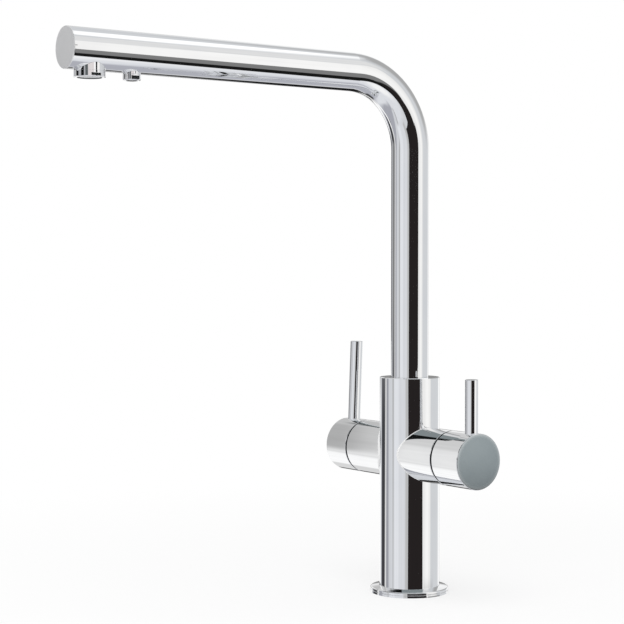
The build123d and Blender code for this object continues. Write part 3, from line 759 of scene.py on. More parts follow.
# A later card lies over the ones before it.
CARDS = (
    Card("table", -180, 180, -95, -34, 0.83, soft_ends=14.0, tint=COOL),
    Card("sheen of table", -5, 46, -66, -44, 1.0, soft=30.0, soft_ends=14.0),
    Card("dim side of table", 72, 174, -84, -40, 0.52, soft=20.0, soft_ends=10.0, tint=LILAC),
    Card(
        "table by the far wall", -192, -108, -72, -12, 0.47, soft=26.0, soft_ends=12.0, tint=LILAC,
        lean=-20.0,
    ),
    Card("side wall", 106, 178, -42, 20, 1.05, soft=14.0, soft_ends=12.0),
    Card("dim corner", 78, 131, 9, 50, 0.43, soft=26.0, soft_ends=12.0),
    Card("upper side wall", 134, 178, 8, 32, 1.0, soft=10.0, soft_ends=8.0),
    Card("far wall", -176, -125, -14, 12, 0.4, soft=6.0, soft_ends=6.0, tint=LILAC),
    Card("upper screen", -180, -120, 12, 60, 0.7, soft=5.0, soft_ends=5.0),
    Card("wall light", -128, -111, -60, 50, 0.72, soft=7.0, tint=COOL, lean=-25.0),
    Card("wall joint", -108, -102, -60, 50, 0.4, soft=5.0, lean=-25.0),
    Card("front wall", -101, -52, -34, 60, 0.79, soft=7.0, soft_ends=12.0, tint=COOL),
    Card("front wall light", -98, -80, -34, 60, 0.88, soft=14.0, soft_ends=12.0, tint=COOL),
    Card("grey card", -54, -43, -30, 40, 0.54, soft=8.0),
    Card("door frame", -172, -150, -4, 14, 0.24, soft=8.0, soft_ends=6.0),
    Card("door frame foot", -171, -146, -34, -3, 0.06, soft=6.0, soft_ends=5.0, tint=LILAC),
    Card("side wall edge", 146, 178, -3.5, 6, 0.12, soft=6.0, soft_ends=4.0, tint=LILAC),
    Card("dark sill", 132, 161, -39, -14, 0.03, soft=6.0, soft_ends=9.0),
    Card("end of sill", 150, 168, -54, -34, 0.06, soft=6.0, soft_ends=8.0),
    Card("grey sill", 130, 147.5, -28, 7, 0.25, soft=3.0, soft_ends=9.0),
    Card("dark skirting", 128, 149, -40, -11.5, 0.01, soft=3.0, soft_ends=3.0, tint=LILAC),
    Card("tall window", 9, 51, -14, 29, 0.9, soft=5.0, soft_ends=6.0, tint=WARM),
    Card("middle of window", 24, 43, -16, 29, 1.02, soft=18.0, soft_ends=6.0, tint=WARM),
    Card("upper wall", 18, 62, 30, 50, 0.8, soft=8.0, soft_ends=8.0),
    Card("low black card", -42, 66, -44, -12.2, 0.01, soft=1.0, soft_ends=1.5, lowest=47.0),
    Card("grey skirting", 14, 60, -30, -11.2, 0.22, soft=5.0, soft_ends=1.5, lean=-25.0),
    Card("black card foot", -20, 10, -30, 1, 0.02, soft=1.5, soft_ends=2.0, tint=BROWN, lean=-25.0),
    Card("black card", -43.2, 10.5, -20, 5.2, 0.02, soft=1.0, soft_ends=0.8, tint=BROWN),
    Card("black card head", -43.2, 15, -3.4, 5.2, 0.02, soft=1.0, soft_ends=0.4, tint=BROWN),
    drape("cloth", -180, -36, 0.5, 4.0, COOL),
    drape("pink cloth", -38, 8, 0.8, 8.0, PINK),
    drape("white cloth", 6, 24, 1.05, 6.0),
    drape("first blind", -147, -112, 0.01, 14.0, LILAC),
    drape("second blind", -90, -67, 0.006, 6.0, TEAL),
    drape("third blind", -57, -38, 0.13, 6.0, TEAL),
    drape("window bar", 18.5, 32, 0.02, 2.0, TEAL, high=8.5),
    Card("gap above", -140, -66, 29, 60, 0.008, soft=8.0, soft_ends=3.0, tint=TEAL),
    Card("grey ceiling", -68, 21, 26, 60, 0.3, soft=6.0, soft_ends=4.0, tint=TEAL),
    Card("ceiling light", 52, 100, 53, 66, 1.2, soft=14.0, soft_ends=8.0),
    hoop("hoop far foot", -140, -92, 0.74, 14.0),
    hoop("hoop lower", -96, -35, 1.06, 10.0),
    hoop("hoop front", -40, 45, 0.86, 22.0),
    hoop("hoop upper", 40, 150, 0.67, 26.0),
    hoop("hoop far side", 96, 158, 0.56, 24.0, low=-57.0, high=-52.4),
    hoop("hoop dim side", -14, 106, 0.6, 40.0, low=-57.0, high=-52.4),
    hoop("hoop shade", -22, 100, 0.46, 30.0, low=-57.0, high=-53.5),
    hoop("hoop second joint", 106, 117, 0.1, 5.0, TEAL, low=-53.7, high=-52.4),
)


@dataclass
class Studio:
    """Camera, lamp, floor and surroundings.

    Attributes:
        eye: Place of the camera in metres.
        ahead: The way it looks.
        above: Its upward direction.
        lens: Focal length in millimetres.
        sensor: Width of the picture behind the lens in millimetres.
        nearest: Least distance that the camera sees, in metres.
        room: Light of the surroundings between the cards.
        streak_scale: How close the streaks in the surroundings lie.
        streak_height: How much slower they change upwards.
        streak_levels: Least and greatest factor of their light.
        plain_light: Brightness that matt surfaces see.
        lamp_power: Power of the lamp overhead in watts.
        lamp_size: Its width in metres.
        lamp_place: Its place in metres.
        floor_radius: Half the floor's width in metres.
        floor_sides: Number of the floor's sides.
        floor_levels: Least and greatest brightness of its speckle.
        floor_speckle: Scale of that speckle, per metre.
        floor_fade: Where the floor starts to fade to white and where it is white, in metres from the tap.
        floor_white: Share of white before it fades.
    """

    eye: Vector = field(default_factory=lambda: Vector((0.86403, -0.67229, 0.21314)))
    ahead: Vector = field(default_factory=lambda: Vector((-0.824260, 0.565717, -0.023671)))
    above: Vector = field(default_factory=lambda: Vector((-0.019912, 0.012818, 0.999720)))
    lens: float = 94.315
    sensor: float = 36.0
    nearest: float = 0.05
    room: Colour = (0.68, 0.695, 0.715)
    streak_scale: float = 16.0
    streak_height: float = 0.1
    streak_levels: tuple[float, float] = (0.9, 1.1)
    plain_light: float = 0.72
    lamp_power: float = 9.0
    lamp_size: float = 1.2
    lamp_place: Vector = field(default_factory=lambda: Vector((0.35, -0.45, 1.5)))
    floor_radius: float = 3.0
    floor_sides: int = 64
    floor_levels: tuple[float, float] = (0.94, 0.96)
    floor_speckle: float = 300.0
    floor_fade: tuple[float, float] = (0.15, 0.6)
    floor_white: float = 0.7

    def place_camera(self) -> None:
        """Makes the camera at the photograph's viewpoint."""
        data = bpy.data.cameras.new("camera")
        data.lens = self.lens
        data.sensor_width = self.sensor
        data.clip_start = self.nearest
        camera = bpy.data.objects.new("camera", data)
        right = self.ahead.cross(self.above).normalized()
        turn = Matrix((right, right.cross(self.ahead), -self.ahead.normalized())).transposed()
        camera.matrix_world = Matrix.Translation(self.eye) @ turn.to_4x4()
        bpy.context.scene.collection.objects.link(camera)
        bpy.context.scene.camera = camera

    def surround(self) -> None:
        """Lights the room: cards for polished metal, plain light for matt surfaces, white behind."""
        world = bpy.data.worlds.new("studio")
        bpy.context.scene.world = world
        world.use_nodes = True
        world.cycles.sampling_method = "NONE"
        shader = Shader(world.node_tree)
        direction = shader.node("ShaderNodeTexCoord").outputs["Generated"]
        x, y, z = shader.split(direction)
        headings = {Pole.UPRIGHT: Heading.about(y, x, z), Pole.SIDEWAYS: Heading.about(z, y * -1.0, x)}
        seen: Input = self.room
        for card in CARDS:
            seen = shader.blend(card.mask(headings[card.pole]), seen, card.colour())
        stretched = shader.mapped(direction, (1.0, 1.0, self.streak_height))
        streaks = shader.noise(stretched, self.streak_scale, COARSE_DETAIL).spread(*self.streak_levels)
        streaked = shader.node("ShaderNodeVectorMath", {"operation": "SCALE"}, {0: seen, "Scale": streaks})
        light = shader.blend(shader.mirrored_ray(), (self.plain_light,) * 3, streaked.outputs[0])
        shown = shader.blend(shader.camera_ray(), light, WHITE)
        back = shader.node("ShaderNodeBackground", inputs={"Color": shown, "Strength": 1.0})
        shader.node("ShaderNodeOutputWorld", inputs={"Surface": back.outputs[0]})

    def hang_lamp(self) -> None:
        """Hangs one wide soft lamp overhead, for the shadow on the floor."""
        data = bpy.data.lights.new("overhead_lamp", "AREA")
        data.shape = "DISK"
        data.size = self.lamp_size
        data.energy = self.lamp_power
        lamp = bpy.data.objects.new("overhead_lamp", data)
        lamp.location = self.lamp_place
        lamp.rotation_mode = "QUATERNION"
        lamp.rotation_quaternion = self.lamp_place.to_track_quat("Z", "Y")
        lamp.visible_glossy = False
        bpy.context.scene.collection.objects.link(lamp)

    def floor_material(self) -> bpy.types.Material:
        """Pale floor that fades to the white behind it, and that metal sees past.

        Returns:
            The material, with its nodes.
        """
        made, shader = new_material("pale_floor")
        dim, bright = self.floor_levels
        speckle = shader.noise(shader.point(), self.floor_speckle)
        pale = shader.node(
            "ShaderNodeBsdfDiffuse", inputs={"Color": shader.blend(speckle, (dim,) * 3, (bright,) * 3)}
        )
        white = shader.node("ShaderNodeEmission", inputs={"Color": opaque(WHITE), "Strength": 1.0})
        clear = shader.node("ShaderNodeBsdfTransparent")
        x, y, _ = shader.split(shader.point())
        fade = (x * x + y * y).sqrt().ease(*self.floor_fade).spread(self.floor_white, 1.0)
        faded = {0: shader.camera_ray() * fade, 1: pale.outputs[0], 2: white.outputs[0]}
        shown = shader.node("ShaderNodeMixShader", inputs=faded)
        passed = {0: shader.mirrored_ray(), 1: shown.outputs[0], 2: clear.outputs[0]}
        result = shader.node("ShaderNodeMixShader", inputs=passed)
        shader.node("ShaderNodeOutputMaterial", inputs={"Surface": result.outputs[0]})
        return made

    def lay_floor(self) -> None:
        """Lays the floor."""
        mesh = bmesh.new()
        bmesh.ops.create_circle(mesh, cap_ends=True, radius=self.floor_radius, segments=self.floor_sides)
        floor = mesh_object("floor", mesh)
        floor.data.materials.append(self.floor_material())

    def build(self) -> None:
        """Sets up the whole studio."""
        scene = bpy.context.scene
        scene.view_settings.view_transform = "Standard"
        self.place_camera()
        self.surround()
        self.hang_lamp()
        self.lay_floor()
        LOG.info("studio: %d cards", len(CARDS))


# ---------------------------------------------------------------------------------------
# Mesh work
# ---------------------------------------------------------------------------------------


class Corner(NamedTuple):
    """A corner of a turned piece's outline, in millimetres.

    Attributes:
        radius: Its distance from the turning axis.
        station: Its place along the axis.
        rounding: Radius of its rounded edge.
    """

    radius: float
    station: float
    rounding: float = 0.0


def stepped_pin(
    radius: float, top: float, seat: float, stud: tuple[float, float], rounding: float
) -> tuple[Corner, ...]:
    """Outline of a round pin with a thinner stud below it.

    Args:
        radius: Radius of the pin, in millimetres.
        top: Station of its upper end.
        seat: Station where the stud starts.
        stud: Radius and length of the stud.
        rounding: Rounding of the pin's upper end.

    Returns:
        The corners, from the axis at the top to the axis at the bottom.
    """
    stud_radius, stud_length = stud
    return (
        Corner(0.0, top),
        Corner(radius, top, rounding),
        Corner(radius, seat),
        Corner(stud_radius, seat),
        Corner(stud_radius, seat - stud_length),
        Corner(0.0, seat - stud_length),
    )


def turned(corners: Sequence[Corner], place: Matrix, steps: int = SPOUT_STEPS) -> bmesh.types.BMesh:
    """Turns an outline about the local Z axis, as a lathe does.

    Args:
        corners: The outline, either from axis to axis or as a ring that closes on its first corner.
        place: Where the local frame stands, in millimetres.
        steps: Number of faces around.

    Returns:
        The closed mesh, in metres.
    """
    mesh = bmesh.new()
    points = [mesh.verts.new((corner.radius, 0.0, corner.station)) for corner in corners]
    following = points[1:] if corners[0].radius == 0.0 else points[1:] + points[:1]
    for first, second in zip(points, following):
        mesh.edges.new((first, second))
    for point, corner in zip(points, corners):
        if corner.rounding:
            bmesh.ops.bevel(
                mesh, geom=[point], offset=corner.rounding, offset_type="OFFSET", affect="VERTICES",
                segments=ROUNDING_STEPS, profile=0.5, material=-1,
            )
    bmesh.ops.spin(
        mesh, geom=mesh.verts[:] + mesh.edges[:], cent=(0.0, 0.0, 0.0), axis=(0.0, 0.0, 1.0),
        dvec=(0.0, 0.0, 0.0), angle=math.tau, steps=steps, use_merge=True,
    )
    bmesh.ops.remove_doubles(mesh, verts=mesh.verts, dist=MERGE_DISTANCE)
    return placed(mesh, place)


def prism(radius: float, bottom: float, top: float, place: Matrix, sides: int = 6) -> bmesh.types.BMesh:
    """Makes an upright prism.

    Args:
        radius: From its axis to its corners, in millimetres.
        bottom: Station of its lower end.
        top: Station of its upper end.
        place: Where the local frame stands, in millimetres.
        sides: Number of sides.

    Returns:
        The mesh, in metres.
    """
    mesh = bmesh.new()
    middle = Matrix.Translation((0.0, 0.0, (bottom + top) / 2))
    bmesh.ops.create_cone(
        mesh, cap_ends=True, segments=sides, radius1=radius, radius2=radius, depth=top - bottom,
        matrix=middle,
    )
    return placed(mesh, place)


def placed(mesh: bmesh.types.BMesh, place: Matrix) -> bmesh.types.BMesh:
    """Moves a mesh from its local frame to its place, with its faces outwards.

    Args:
        mesh: The mesh, in millimetres.
        place: Where its local frame stands, in millimetres.

    Returns:
        The same mesh, in metres.
    """
    bmesh.ops.transform(mesh, matrix=Matrix.Scale(MM, 4) @ place, verts=mesh.verts)
    bmesh.ops.recalc_face_normals(mesh, faces=mesh.faces)
    return mesh


def joined(meshes: Iterable[bmesh.types.BMesh]) -> bmesh.types.BMesh:
    """Puts several meshes into one.

    Args:
        meshes: The meshes, which are freed.

    Returns:
        The mesh that holds them all.
    """
    whole = bmesh.new()
    for mesh in meshes:
        data = bpy.data.meshes.new("part")
        mesh.to_mesh(data)
        mesh.free()
        whole.from_mesh(data)
        bpy.data.meshes.remove(data)
    return whole


def mesh_object(name: str, mesh: bmesh.types.BMesh) -> bpy.types.Object:
    """Makes an object of a mesh and links it.

    Args:
        name: The object's name.
        mesh: Its mesh, which is freed.

    Returns:
        The new object, at the origin.
    """
    data = bpy.data.meshes.new(name)
    mesh.to_mesh(data)
    mesh.free()
    made = bpy.data.objects.new(name, data)
    bpy.context.scene.collection.objects.link(made)
    return made


def carve(piece: bpy.types.Object, cutter: bmesh.types.BMesh) -> None:
    """Cuts a tool's shape out of a piece.

    Args:
        piece: The piece, which gets a new mesh.
        cutter: The tool's mesh, which is freed.
    """
    tool = mesh_object("cutter", cutter)
    cut = piece.modifiers.new("cut", "BOOLEAN")
    cut.operation = "DIFFERENCE"
    cut.solver = "EXACT"
    cut.object = tool
    whole = piece.data
    carved = piece.evaluated_get(bpy.context.evaluated_depsgraph_get())
    piece.data = bpy.data.meshes.new_from_object(carved)
    piece.modifiers.clear()
    for used in (whole, tool.data):
        bpy.data.meshes.remove(used)


def polish(piece: bpy.types.Object) -> None:
    """Makes a piece's curved faces smooth and keeps its flat faces flat.

    Args:
        piece: The finished piece.
    """
    mesh = bmesh.new()
    mesh.from_mesh(piece.data)
    for face in mesh.faces:
        face.smooth = True
    for edge in mesh.edges:
        edge.smooth = edge.is_manifold and edge.calc_face_angle() < CREASE
    mesh.to_mesh(piece.data)
    mesh.free()
    weighting = piece.modifiers.new("flat_faces", "WEIGHTED_NORMAL")
    weighting.mode = "FACE_AREA"
    weighting.keep_sharp = True


def upright(x: float = 0.0, y: float = 0.0, turn: float = 0.0) -> Matrix:
    """Frame with its Z axis upwards at a point of the plan in millimetres, turned by some degrees."""
    return Matrix.Translation((x, y, 0.0)) @ Matrix.Rotation(math.radians(turn), 4, "Z")


# ---------------------------------------------------------------------------------------
# The tap's visible pieces
# ---------------------------------------------------------------------------------------


@dataclass
class SubAssembly:
    """Pieces that are built and dressed together.

    Attributes:
        wardrobe: The materials.
        body: The body that its pieces ride on.
    """

    wardrobe: "Wardrobe"
    body: str

    def fit(self, piece: bpy.types.Object, node: str, finish: Finish, body: Optional[str] = None) -> None:
        """Finishes a piece and puts it in the place of a node.

        Args:
            piece: The piece.
            node: The node that it stands for.
            finish: What it is made of.
            body: The body that it rides on, where that isn't the sub-assembly's own.
        """
        polish(piece)
        piece.data.materials.clear()
        piece.data.materials.append(self.wardrobe.material(finish))
        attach(piece, body or self.body)
        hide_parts(node)
        LOG.info("%s: %d faces", piece.name, len(piece.data.polygons))


@dataclass
class SocketScrew(SubAssembly):
    """A headless screw with a hexagon socket.

    Attributes:
        node: The node that it stands for.
        place: Frame whose Z axis points out of the screw's outer end, in millimetres.
        top: Station of that end.
        length: Length of the screw.
        radius: Radius of its thread.
        key_radius: Radius of its socket's corners.
        key_depth: Depth of its socket.
        rounding: Rounding of its ends.
        tip: Radius and length of the pin at its inner end, if it has one.
    """

    node: str = ""
    place: Matrix = field(default_factory=Matrix)
    top: float = 0.0
    length: float = 7.0
    radius: float = 2.5
    key_radius: float = 1.4
    key_depth: float = 2.5
    rounding: float = 0.3
    tip: Optional[tuple[float, float]] = None

    def build(self) -> None:
        """Turns the screw and cuts its socket."""
        inner = self.top - self.length
        corners = [Corner(0.0, self.top), Corner(self.radius, self.top, self.rounding)]
        corners.append(Corner(self.radius, inner, self.rounding))
        if self.tip:
            tip_radius, tip_length = self.tip
            corners += [Corner(tip_radius, inner), Corner(tip_radius, inner - tip_length, self.rounding)]
            inner -= tip_length
        corners.append(Corner(0.0, inner))
        screw = mesh_object(f"{self.node}_socketed", turned(corners, self.place, SCREW_STEPS))
        carve(screw, prism(self.key_radius, self.top - self.key_depth, self.top + OVERCUT, self.place))
        self.fit(screw, self.node, STEEL)


@dataclass
class Barrel(SubAssembly):
    """A side barrel: the fixed housing, and the handle's cap with its lever and grub screw.

    Attributes:
        water: The water that it controls, as the nodes' names begin.
        side: 1 on the +X side, -1 on the -X side.
        seam: Station of the middle of the seam, in millimetres from the column's axis.
        shaft_node: The node of the shaft in the cap.
        shaft: Radius of that shaft.
        lever_top: How far the lever rises above the barrel's axis.
        lean: How far the lever leans back, in degrees.
        height: Height of the barrel's axis.
        radius: Radius of housing and cap.
        end: Station of the cap's end.
        seam_gap: Width of the seam.
        seam_rounding: Rounding of the edges at the seam.
        inner_rounding: Rounding of the hollows' edges.
        saddle_rounding: Rounding of the saddle's edge.
        saddle_highlight: Width of the painted highlight around the saddle's edge.
        rim_rounding: Rounding of the cap's rim.
        crown: How much higher the middle of the cap's end is than its rim.
        column: Radius of the column's surface, with the gap around it.
        pocket: Radius of the pocket for the cartridge's nut.
        bore: Radius of the cartridge's bore.
        spigot: Radius of the spigot in the column.
        spigot_start: Station where the spigot starts.
        hollow: Radius of the cap's hollow.
        hollow_end: Station where the hollow ends.
        lever_station: Station of the lever's axis.
        lever_radius: Radius of the lever.
        lever_rounding: Rounding of its upper end.
        lever_seat: Rise of the lever's seat in the cap.
        stud: Radius and length of the lever's stud.
        grub_station: Station of the grub screw's axis.
        grub_radius: Radius of the grub screw.
        grub_length: Length of the grub screw.
        grub_overrun: How far its hole goes on inside the shaft's hole.
        gap: Gap between pieces that are fixed to each other.
    """

    water: str = "mixer"
    side: int = 1
    seam: float = 45.0
    shaft_node: str = "mixer_carrier"
    shaft: float = 5.0
    lever_top: float = 52.0
    lean: float = 0.0
    height: float = 93.5
    radius: float = 18.0
    end: float = 71.9
    seam_gap: float = 1.4
    seam_rounding: float = 0.35
    inner_rounding: float = 0.2
    saddle_rounding: float = 0.35
    saddle_highlight: float = 1.1
    rim_rounding: float = 0.5
    crown: float = 0.5
    column: float = 20.05
    pocket: float = 14.95
    bore: float = 12.55
    spigot: float = 14.4
    spigot_start: float = 10.0
    hollow: float = 16.2
    hollow_end: float = 57.0
    lever_station: float = 64.2
    lever_radius: float = 4.25
    lever_rounding: float = 0.4
    lever_seat: float = 9.0
    stud: tuple[float, float] = (2.4, 3.0)
    grub_station: float = 62.0
    grub_radius: float = 2.5
    grub_length: float = 7.0
    grub_overrun: float = 0.5
    gap: float = 0.05

    def frame(self) -> Matrix:
        """Frame with its Z axis outwards along the barrel."""
        axes = Matrix(((0.0, 0.0, self.side), (self.side, 0.0, 0.0), (0.0, 1.0, 0.0)))
        return Matrix.Translation((0.0, 0.0, self.height)) @ axes.to_4x4()

    def crosswise(self, station: float) -> Matrix:
        """Frame with its Z axis along the lever, on the barrel's axis at a station."""
        lean = Matrix.Rotation(math.radians(-self.lean), 4, "X")
        return Matrix.Translation((self.side * station, 0.0, self.height)) @ lean

    def reach_of(self, node: str, corner: int) -> float:
        """How far along the barrel a node's near (0) or far (1) end lies, in millimetres."""
        ends = sorted(abs(place[0]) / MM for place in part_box(node))
        return ends[corner]

    def seam_side(self, way: int) -> float:
        """Station of the seam's near (-1) or far (1) side, in millimetres."""
        return self.seam + way * self.seam_gap / 2

    def seam_shade_face(self, way: int) -> EndFace:
        """The face at the seam's near (-1) or far (1) side, painted near black as the shade in the seam."""
        return EndFace(PAINTED_SHADE_BLACK, ALONG_X, self.side * self.seam_side(way) * MM, SEAM_REACH)

    def housing(self) -> None:
        """Turns the housing and fits it to the column."""
        end = self.seam_side(-1)
        pocket_floor = self.reach_of(f"{self.water}_retaining_nut", 0)
        corners = (
            Corner(self.radius, self.column),
            Corner(self.radius, end, self.seam_rounding),
            Corner(self.pocket, end, self.inner_rounding),
            Corner(self.pocket, pocket_floor),
            Corner(self.bore, pocket_floor),
            Corner(self.bore, self.spigot_start),
            Corner(self.spigot, self.spigot_start),
            Corner(self.spigot, self.column),
        )
        mesh = turned(corners, self.frame(), BARREL_STEPS)
        self.shape_saddle(mesh)
        # Painted highlight: a near white ring on the saddle's edge where it meets the column.
        rim = Core(PAINTED_RIM_HIGHLIGHT, 0.0, (self.column + self.saddle_highlight) * MM)
        finish = Zoned(f"{self.water}_housing_chrome", CHROME, (self.seam_shade_face(-1), rim))
        self.fit(mesh_object(f"{self.water}_housing_turned", mesh), f"{self.water}_housing", finish, "root")

    def shape_saddle(self, mesh: bmesh.types.BMesh) -> None:
        """Bends the housing's flat foot around the column and rounds its edge.

        Args:
            mesh: The housing's mesh, in metres.
        """
        column = self.column * MM
        foot = [v for v in mesh.verts if abs(abs(v.co.x) - column) < MERGE_DISTANCE * MM]
        for vertex in foot:
            vertex.co.x = self.side * math.sqrt(column**2 - vertex.co.y**2)
        rim = [
            edge
            for edge in mesh.edges
            if all(v in foot and self.off_axis(v.co) > self.radius - RIM_BAND for v in edge.verts)
        ]
        bmesh.ops.bevel(
            mesh, geom=rim, offset=self.saddle_rounding * MM, offset_type="OFFSET", affect="EDGES",
            segments=ROUNDING_STEPS, profile=0.5, material=-1,
        )

    def off_axis(self, point: Vector) -> float:
        """Distance of a point from the barrel's axis, in millimetres."""
        return math.hypot(point.y, point.z - self.height * MM) / MM

    def crown_corners(self) -> Iterable[Corner]:
        """Corners of the cap's end, which is slightly crowned.

        Returns:
            Each corner in turn, from the axis outwards.
        """
        for step in range(1, CROWN_STEPS):
            share = step / CROWN_STEPS
            yield Corner(self.radius * share, self.end - self.crown * share**2)

    def cap(self) -> None:
        """Turns the cap and cuts the lever's seat and the grub screw's hole."""
        start = self.seam_side(1)
        shaft_hole = self.shaft + self.gap
        hole_end = self.reach_of(self.shaft_node, 1) + self.gap
        corners = (
            Corner(0.0, self.end),
            *self.crown_corners(),
            Corner(self.radius, self.end - self.crown, self.rim_rounding),
            Corner(self.radius, start, self.seam_rounding),
            Corner(self.hollow, start, self.inner_rounding),
            Corner(self.hollow, self.hollow_end),
            Corner(shaft_hole, self.hollow_end),
            Corner(shaft_hole, hole_end),
            Corner(0.0, hole_end),
        )
        cap = mesh_object(f"{self.water}_cap_turned", turned(corners, self.frame(), BARREL_STEPS))
        stud_radius, stud_length = self.stud
        seat = (
            Corner(0.0, self.lever_seat - stud_length),
            Corner(stud_radius + self.gap, self.lever_seat - stud_length),
            Corner(stud_radius + self.gap, self.lever_seat),
            Corner(self.lever_radius + self.gap, self.lever_seat),
            Corner(self.lever_radius + self.gap, 2 * self.radius),
            Corner(0.0, 2 * self.radius),
        )
        carve(cap, turned(seat, self.crosswise(self.lever_station), SCREW_STEPS))
        place = self.crosswise(self.grub_station)
        hole_top = self.grub_overrun - self.shaft
        carve(cap, prism(self.grub_radius + self.gap, -2 * self.radius, hole_top, place, SCREW_STEPS))
        # Satin end face, with its colour partly a painted reflection.
        end = EndFace(CAP_SATIN_PAINTED_REFLECTION, ALONG_X, self.side * self.end * MM, SATIN_REACH)
        finish = Zoned(f"{self.water}_cap_chrome", CHROME, (end, self.seam_shade_face(1)))
        self.fit(cap, f"{self.water}_cap", finish)

    def lever(self) -> None:
        """Turns the pin lever."""
        corners = stepped_pin(
            self.lever_radius, self.lever_top, self.lever_seat, self.stud, self.lever_rounding
        )
        mesh = turned(corners, self.crosswise(self.lever_station), LEVER_STEPS)
        self.fit(mesh_object(f"{self.water}_lever_turned", mesh), f"{self.water}_lever", CHROME)

    def grub_screw(self) -> None:
        """Makes the screw that holds the cap on its shaft."""
        outwards = self.crosswise(self.grub_station) @ Matrix.Rotation(math.pi, 4, "X")
        top = self.shaft + self.gap + self.grub_length
        SocketScrew(
            self.wardrobe, self.body, f"{self.water}_grub_screw", outwards, top, self.grub_length,
            self.grub_radius,
        ).build()

    def build(self) -> None:
        """Builds every piece of the barrel."""
        self.housing()
        self.cap()
        self.lever()
        self.grub_screw()


@dataclass
class SpoutEnd(SubAssembly):
    """The flat cap that closes the arm.

    Attributes:
        height: Height of the arm's axis, in millimetres.
        end: How far the arm reaches.
        radius: Radius of the arm.
        thickness: Thickness of the cap's plate.
        rounding: Rounding of its rim.
        plug: Radius and length of the plug in the tube.
    """

    height: float = 344.0
    end: float = 253.0
    radius: float = 12.5
    thickness: float = 2.0
    rounding: float = 0.45
    plug: tuple[float, float] = (10.95, 4.0)

    def build(self) -> None:
        """Turns the cap."""
        corners = stepped_pin(self.radius, self.end, self.end - self.thickness, self.plug, self.rounding)
        forwards = Matrix.Translation((0.0, 0.0, self.height)) @ Matrix.Rotation(math.pi / 2, 4, "X")
        cap = mesh_object("spout_end_cap_turned", turned(corners, forwards))
        end = EndFace(ARM_SATIN, ALONG_Y, -self.end * MM, SATIN_REACH)
        self.fit(cap, "spout_end_cap", Zoned("arm_end_chrome", CHROME, (end,)))


@dataclass
class Outlet(SubAssembly):
    """One of the two outlets under the arm, with wrench flats and the insert in its mouth.

    Attributes:
        node: The outlet's node.
        insert_node: The node of its insert.
        station: How far forward its axis lies, in millimetres.
        outline: Its outline, from the mouth's edge round the outside and back through the bore.
        flat_distance: From its axis to the wrench flats.
        flat_bottom: Height where the flats start.
        flat_top: Height where they end.
        bore_shade_edge: How far the painted shade inside the bore reaches over its edge.
        insert_outline: Outline of the insert.
        cell: Radius of the insert's cells.
        pitch: Distance between the cells' middles.
        reach: Greatest distance of a cell's middle from the axis.
    """

    node: str = "aerator_housing"
    insert_node: str = "aerator_insert"
    station: float = 237.1
    outline: tuple[Corner, ...] = ()
    flat_distance: float = 8.8
    flat_bottom: float = 327.9
    flat_top: float = 329.6
    bore_shade_edge: float = 0.4
    insert_outline: tuple[Corner, ...] = ()
    cell: float = 0.48
    pitch: float = 1.1
    reach: float = 5.6

    def housing(self) -> None:
        """Turns the outlet and mills its flats."""
        place = upright(0.0, -self.station)
        outlet = mesh_object(f"{self.node}_milled", turned(self.outline, place))
        width = 2 * self.flat_distance
        for side in (-1, 1):
            slab = bmesh.new()
            size = (width, 2 * width, self.flat_top - self.flat_bottom)
            middle = (side * (self.flat_distance + width / 2), 0.0, (self.flat_top + self.flat_bottom) / 2)
            local = Matrix.Translation(middle) @ Matrix.Diagonal((*size, 1.0))
            bmesh.ops.create_cube(slab, size=1.0, matrix=local)
            carve(outlet, placed(slab, place))
        bore = min(corner.radius for corner in self.outline) + self.bore_shade_edge
        # Painted shade: the inside of the bore is coloured near black.
        inside = Core(PAINTED_SHADE_BLACK, self.station * MM, bore * MM)
        self.fit(outlet, self.node, Zoned(f"{self.node}_chrome", CHROME, (inside,)))

    def cells(self) -> Iterable[tuple[float, float]]:
        """The middles of the insert's cells, in a honeycomb.

        Returns:
            The place of each in the plan, from the outlet's axis in millimetres.
        """
        rows = int(self.reach / self.pitch) + 1
        for row in range(-rows, rows + 1):
            for column in range(-rows, rows + 1):
                x = (column + (row % 2) / 2) * self.pitch
                y = row * self.pitch * ROW_SPACING
                if math.hypot(x, y) <= self.reach:
                    yield x, y

    def insert(self) -> None:
        """Turns the insert and cuts its cells."""
        axis = upright(0.0, -self.station)
        insert = mesh_object(f"{self.insert_node}_pierced", turned(self.insert_outline, axis, INSERT_STEPS))
        heights = [corner.station for corner in self.insert_outline]
        bottom, top = min(heights) - OVERCUT, max(heights) + OVERCUT
        tools = [
            prism(self.cell, bottom, top, upright(x, y - self.station, CELL_TURN)) for x, y in self.cells()
        ]
        carve(insert, joined(tools))
        self.fit(insert, self.insert_node, PLASTIC)

    def build(self) -> None:
        """Builds the outlet and its insert."""
        self.housing()
        self.insert()


# The outlets and their inserts: radius, height and rounding of each corner, in millimetres.
MAIN_OUTLINE = (
    Corner(7.0, 327.4, 0.25),
    Corner(9.0, 327.4, 0.2),
    Corner(9.35, 327.75),
    Corner(9.35, 327.85),
    Corner(9.35, 331.1, 0.08),
    Corner(8.3, 331.1),
    Corner(8.3, 337.5),
    Corner(7.0, 337.5),
)
MAIN_INSERT_OUTLINE = (
    Corner(0.0, 327.9),
    Corner(6.95, 327.9, 0.2),
    Corner(6.95, 334.9),
    Corner(6.0, 334.9),
    Corner(6.0, 329.4),
    Corner(0.0, 329.4),
)
FILTER_OUTLINE = (
    Corner(3.0, 327.4, 0.2),
    Corner(4.7, 327.4, 0.2),
    Corner(5.05, 327.6),
    Corner(5.4, 328.0),
    Corner(5.4, 328.1),
    Corner(5.4, 331.1, 0.08),
    Corner(3.65, 331.1),
    Corner(3.65, 329.2),
    Corner(3.0, 329.2),
)
FILTER_INSERT_OUTLINE = (
    Corner(0.0, 327.9),
    Corner(2.95, 327.9, 0.15),
    Corner(2.95, 329.2),
    Corner(0.0, 329.2),
)


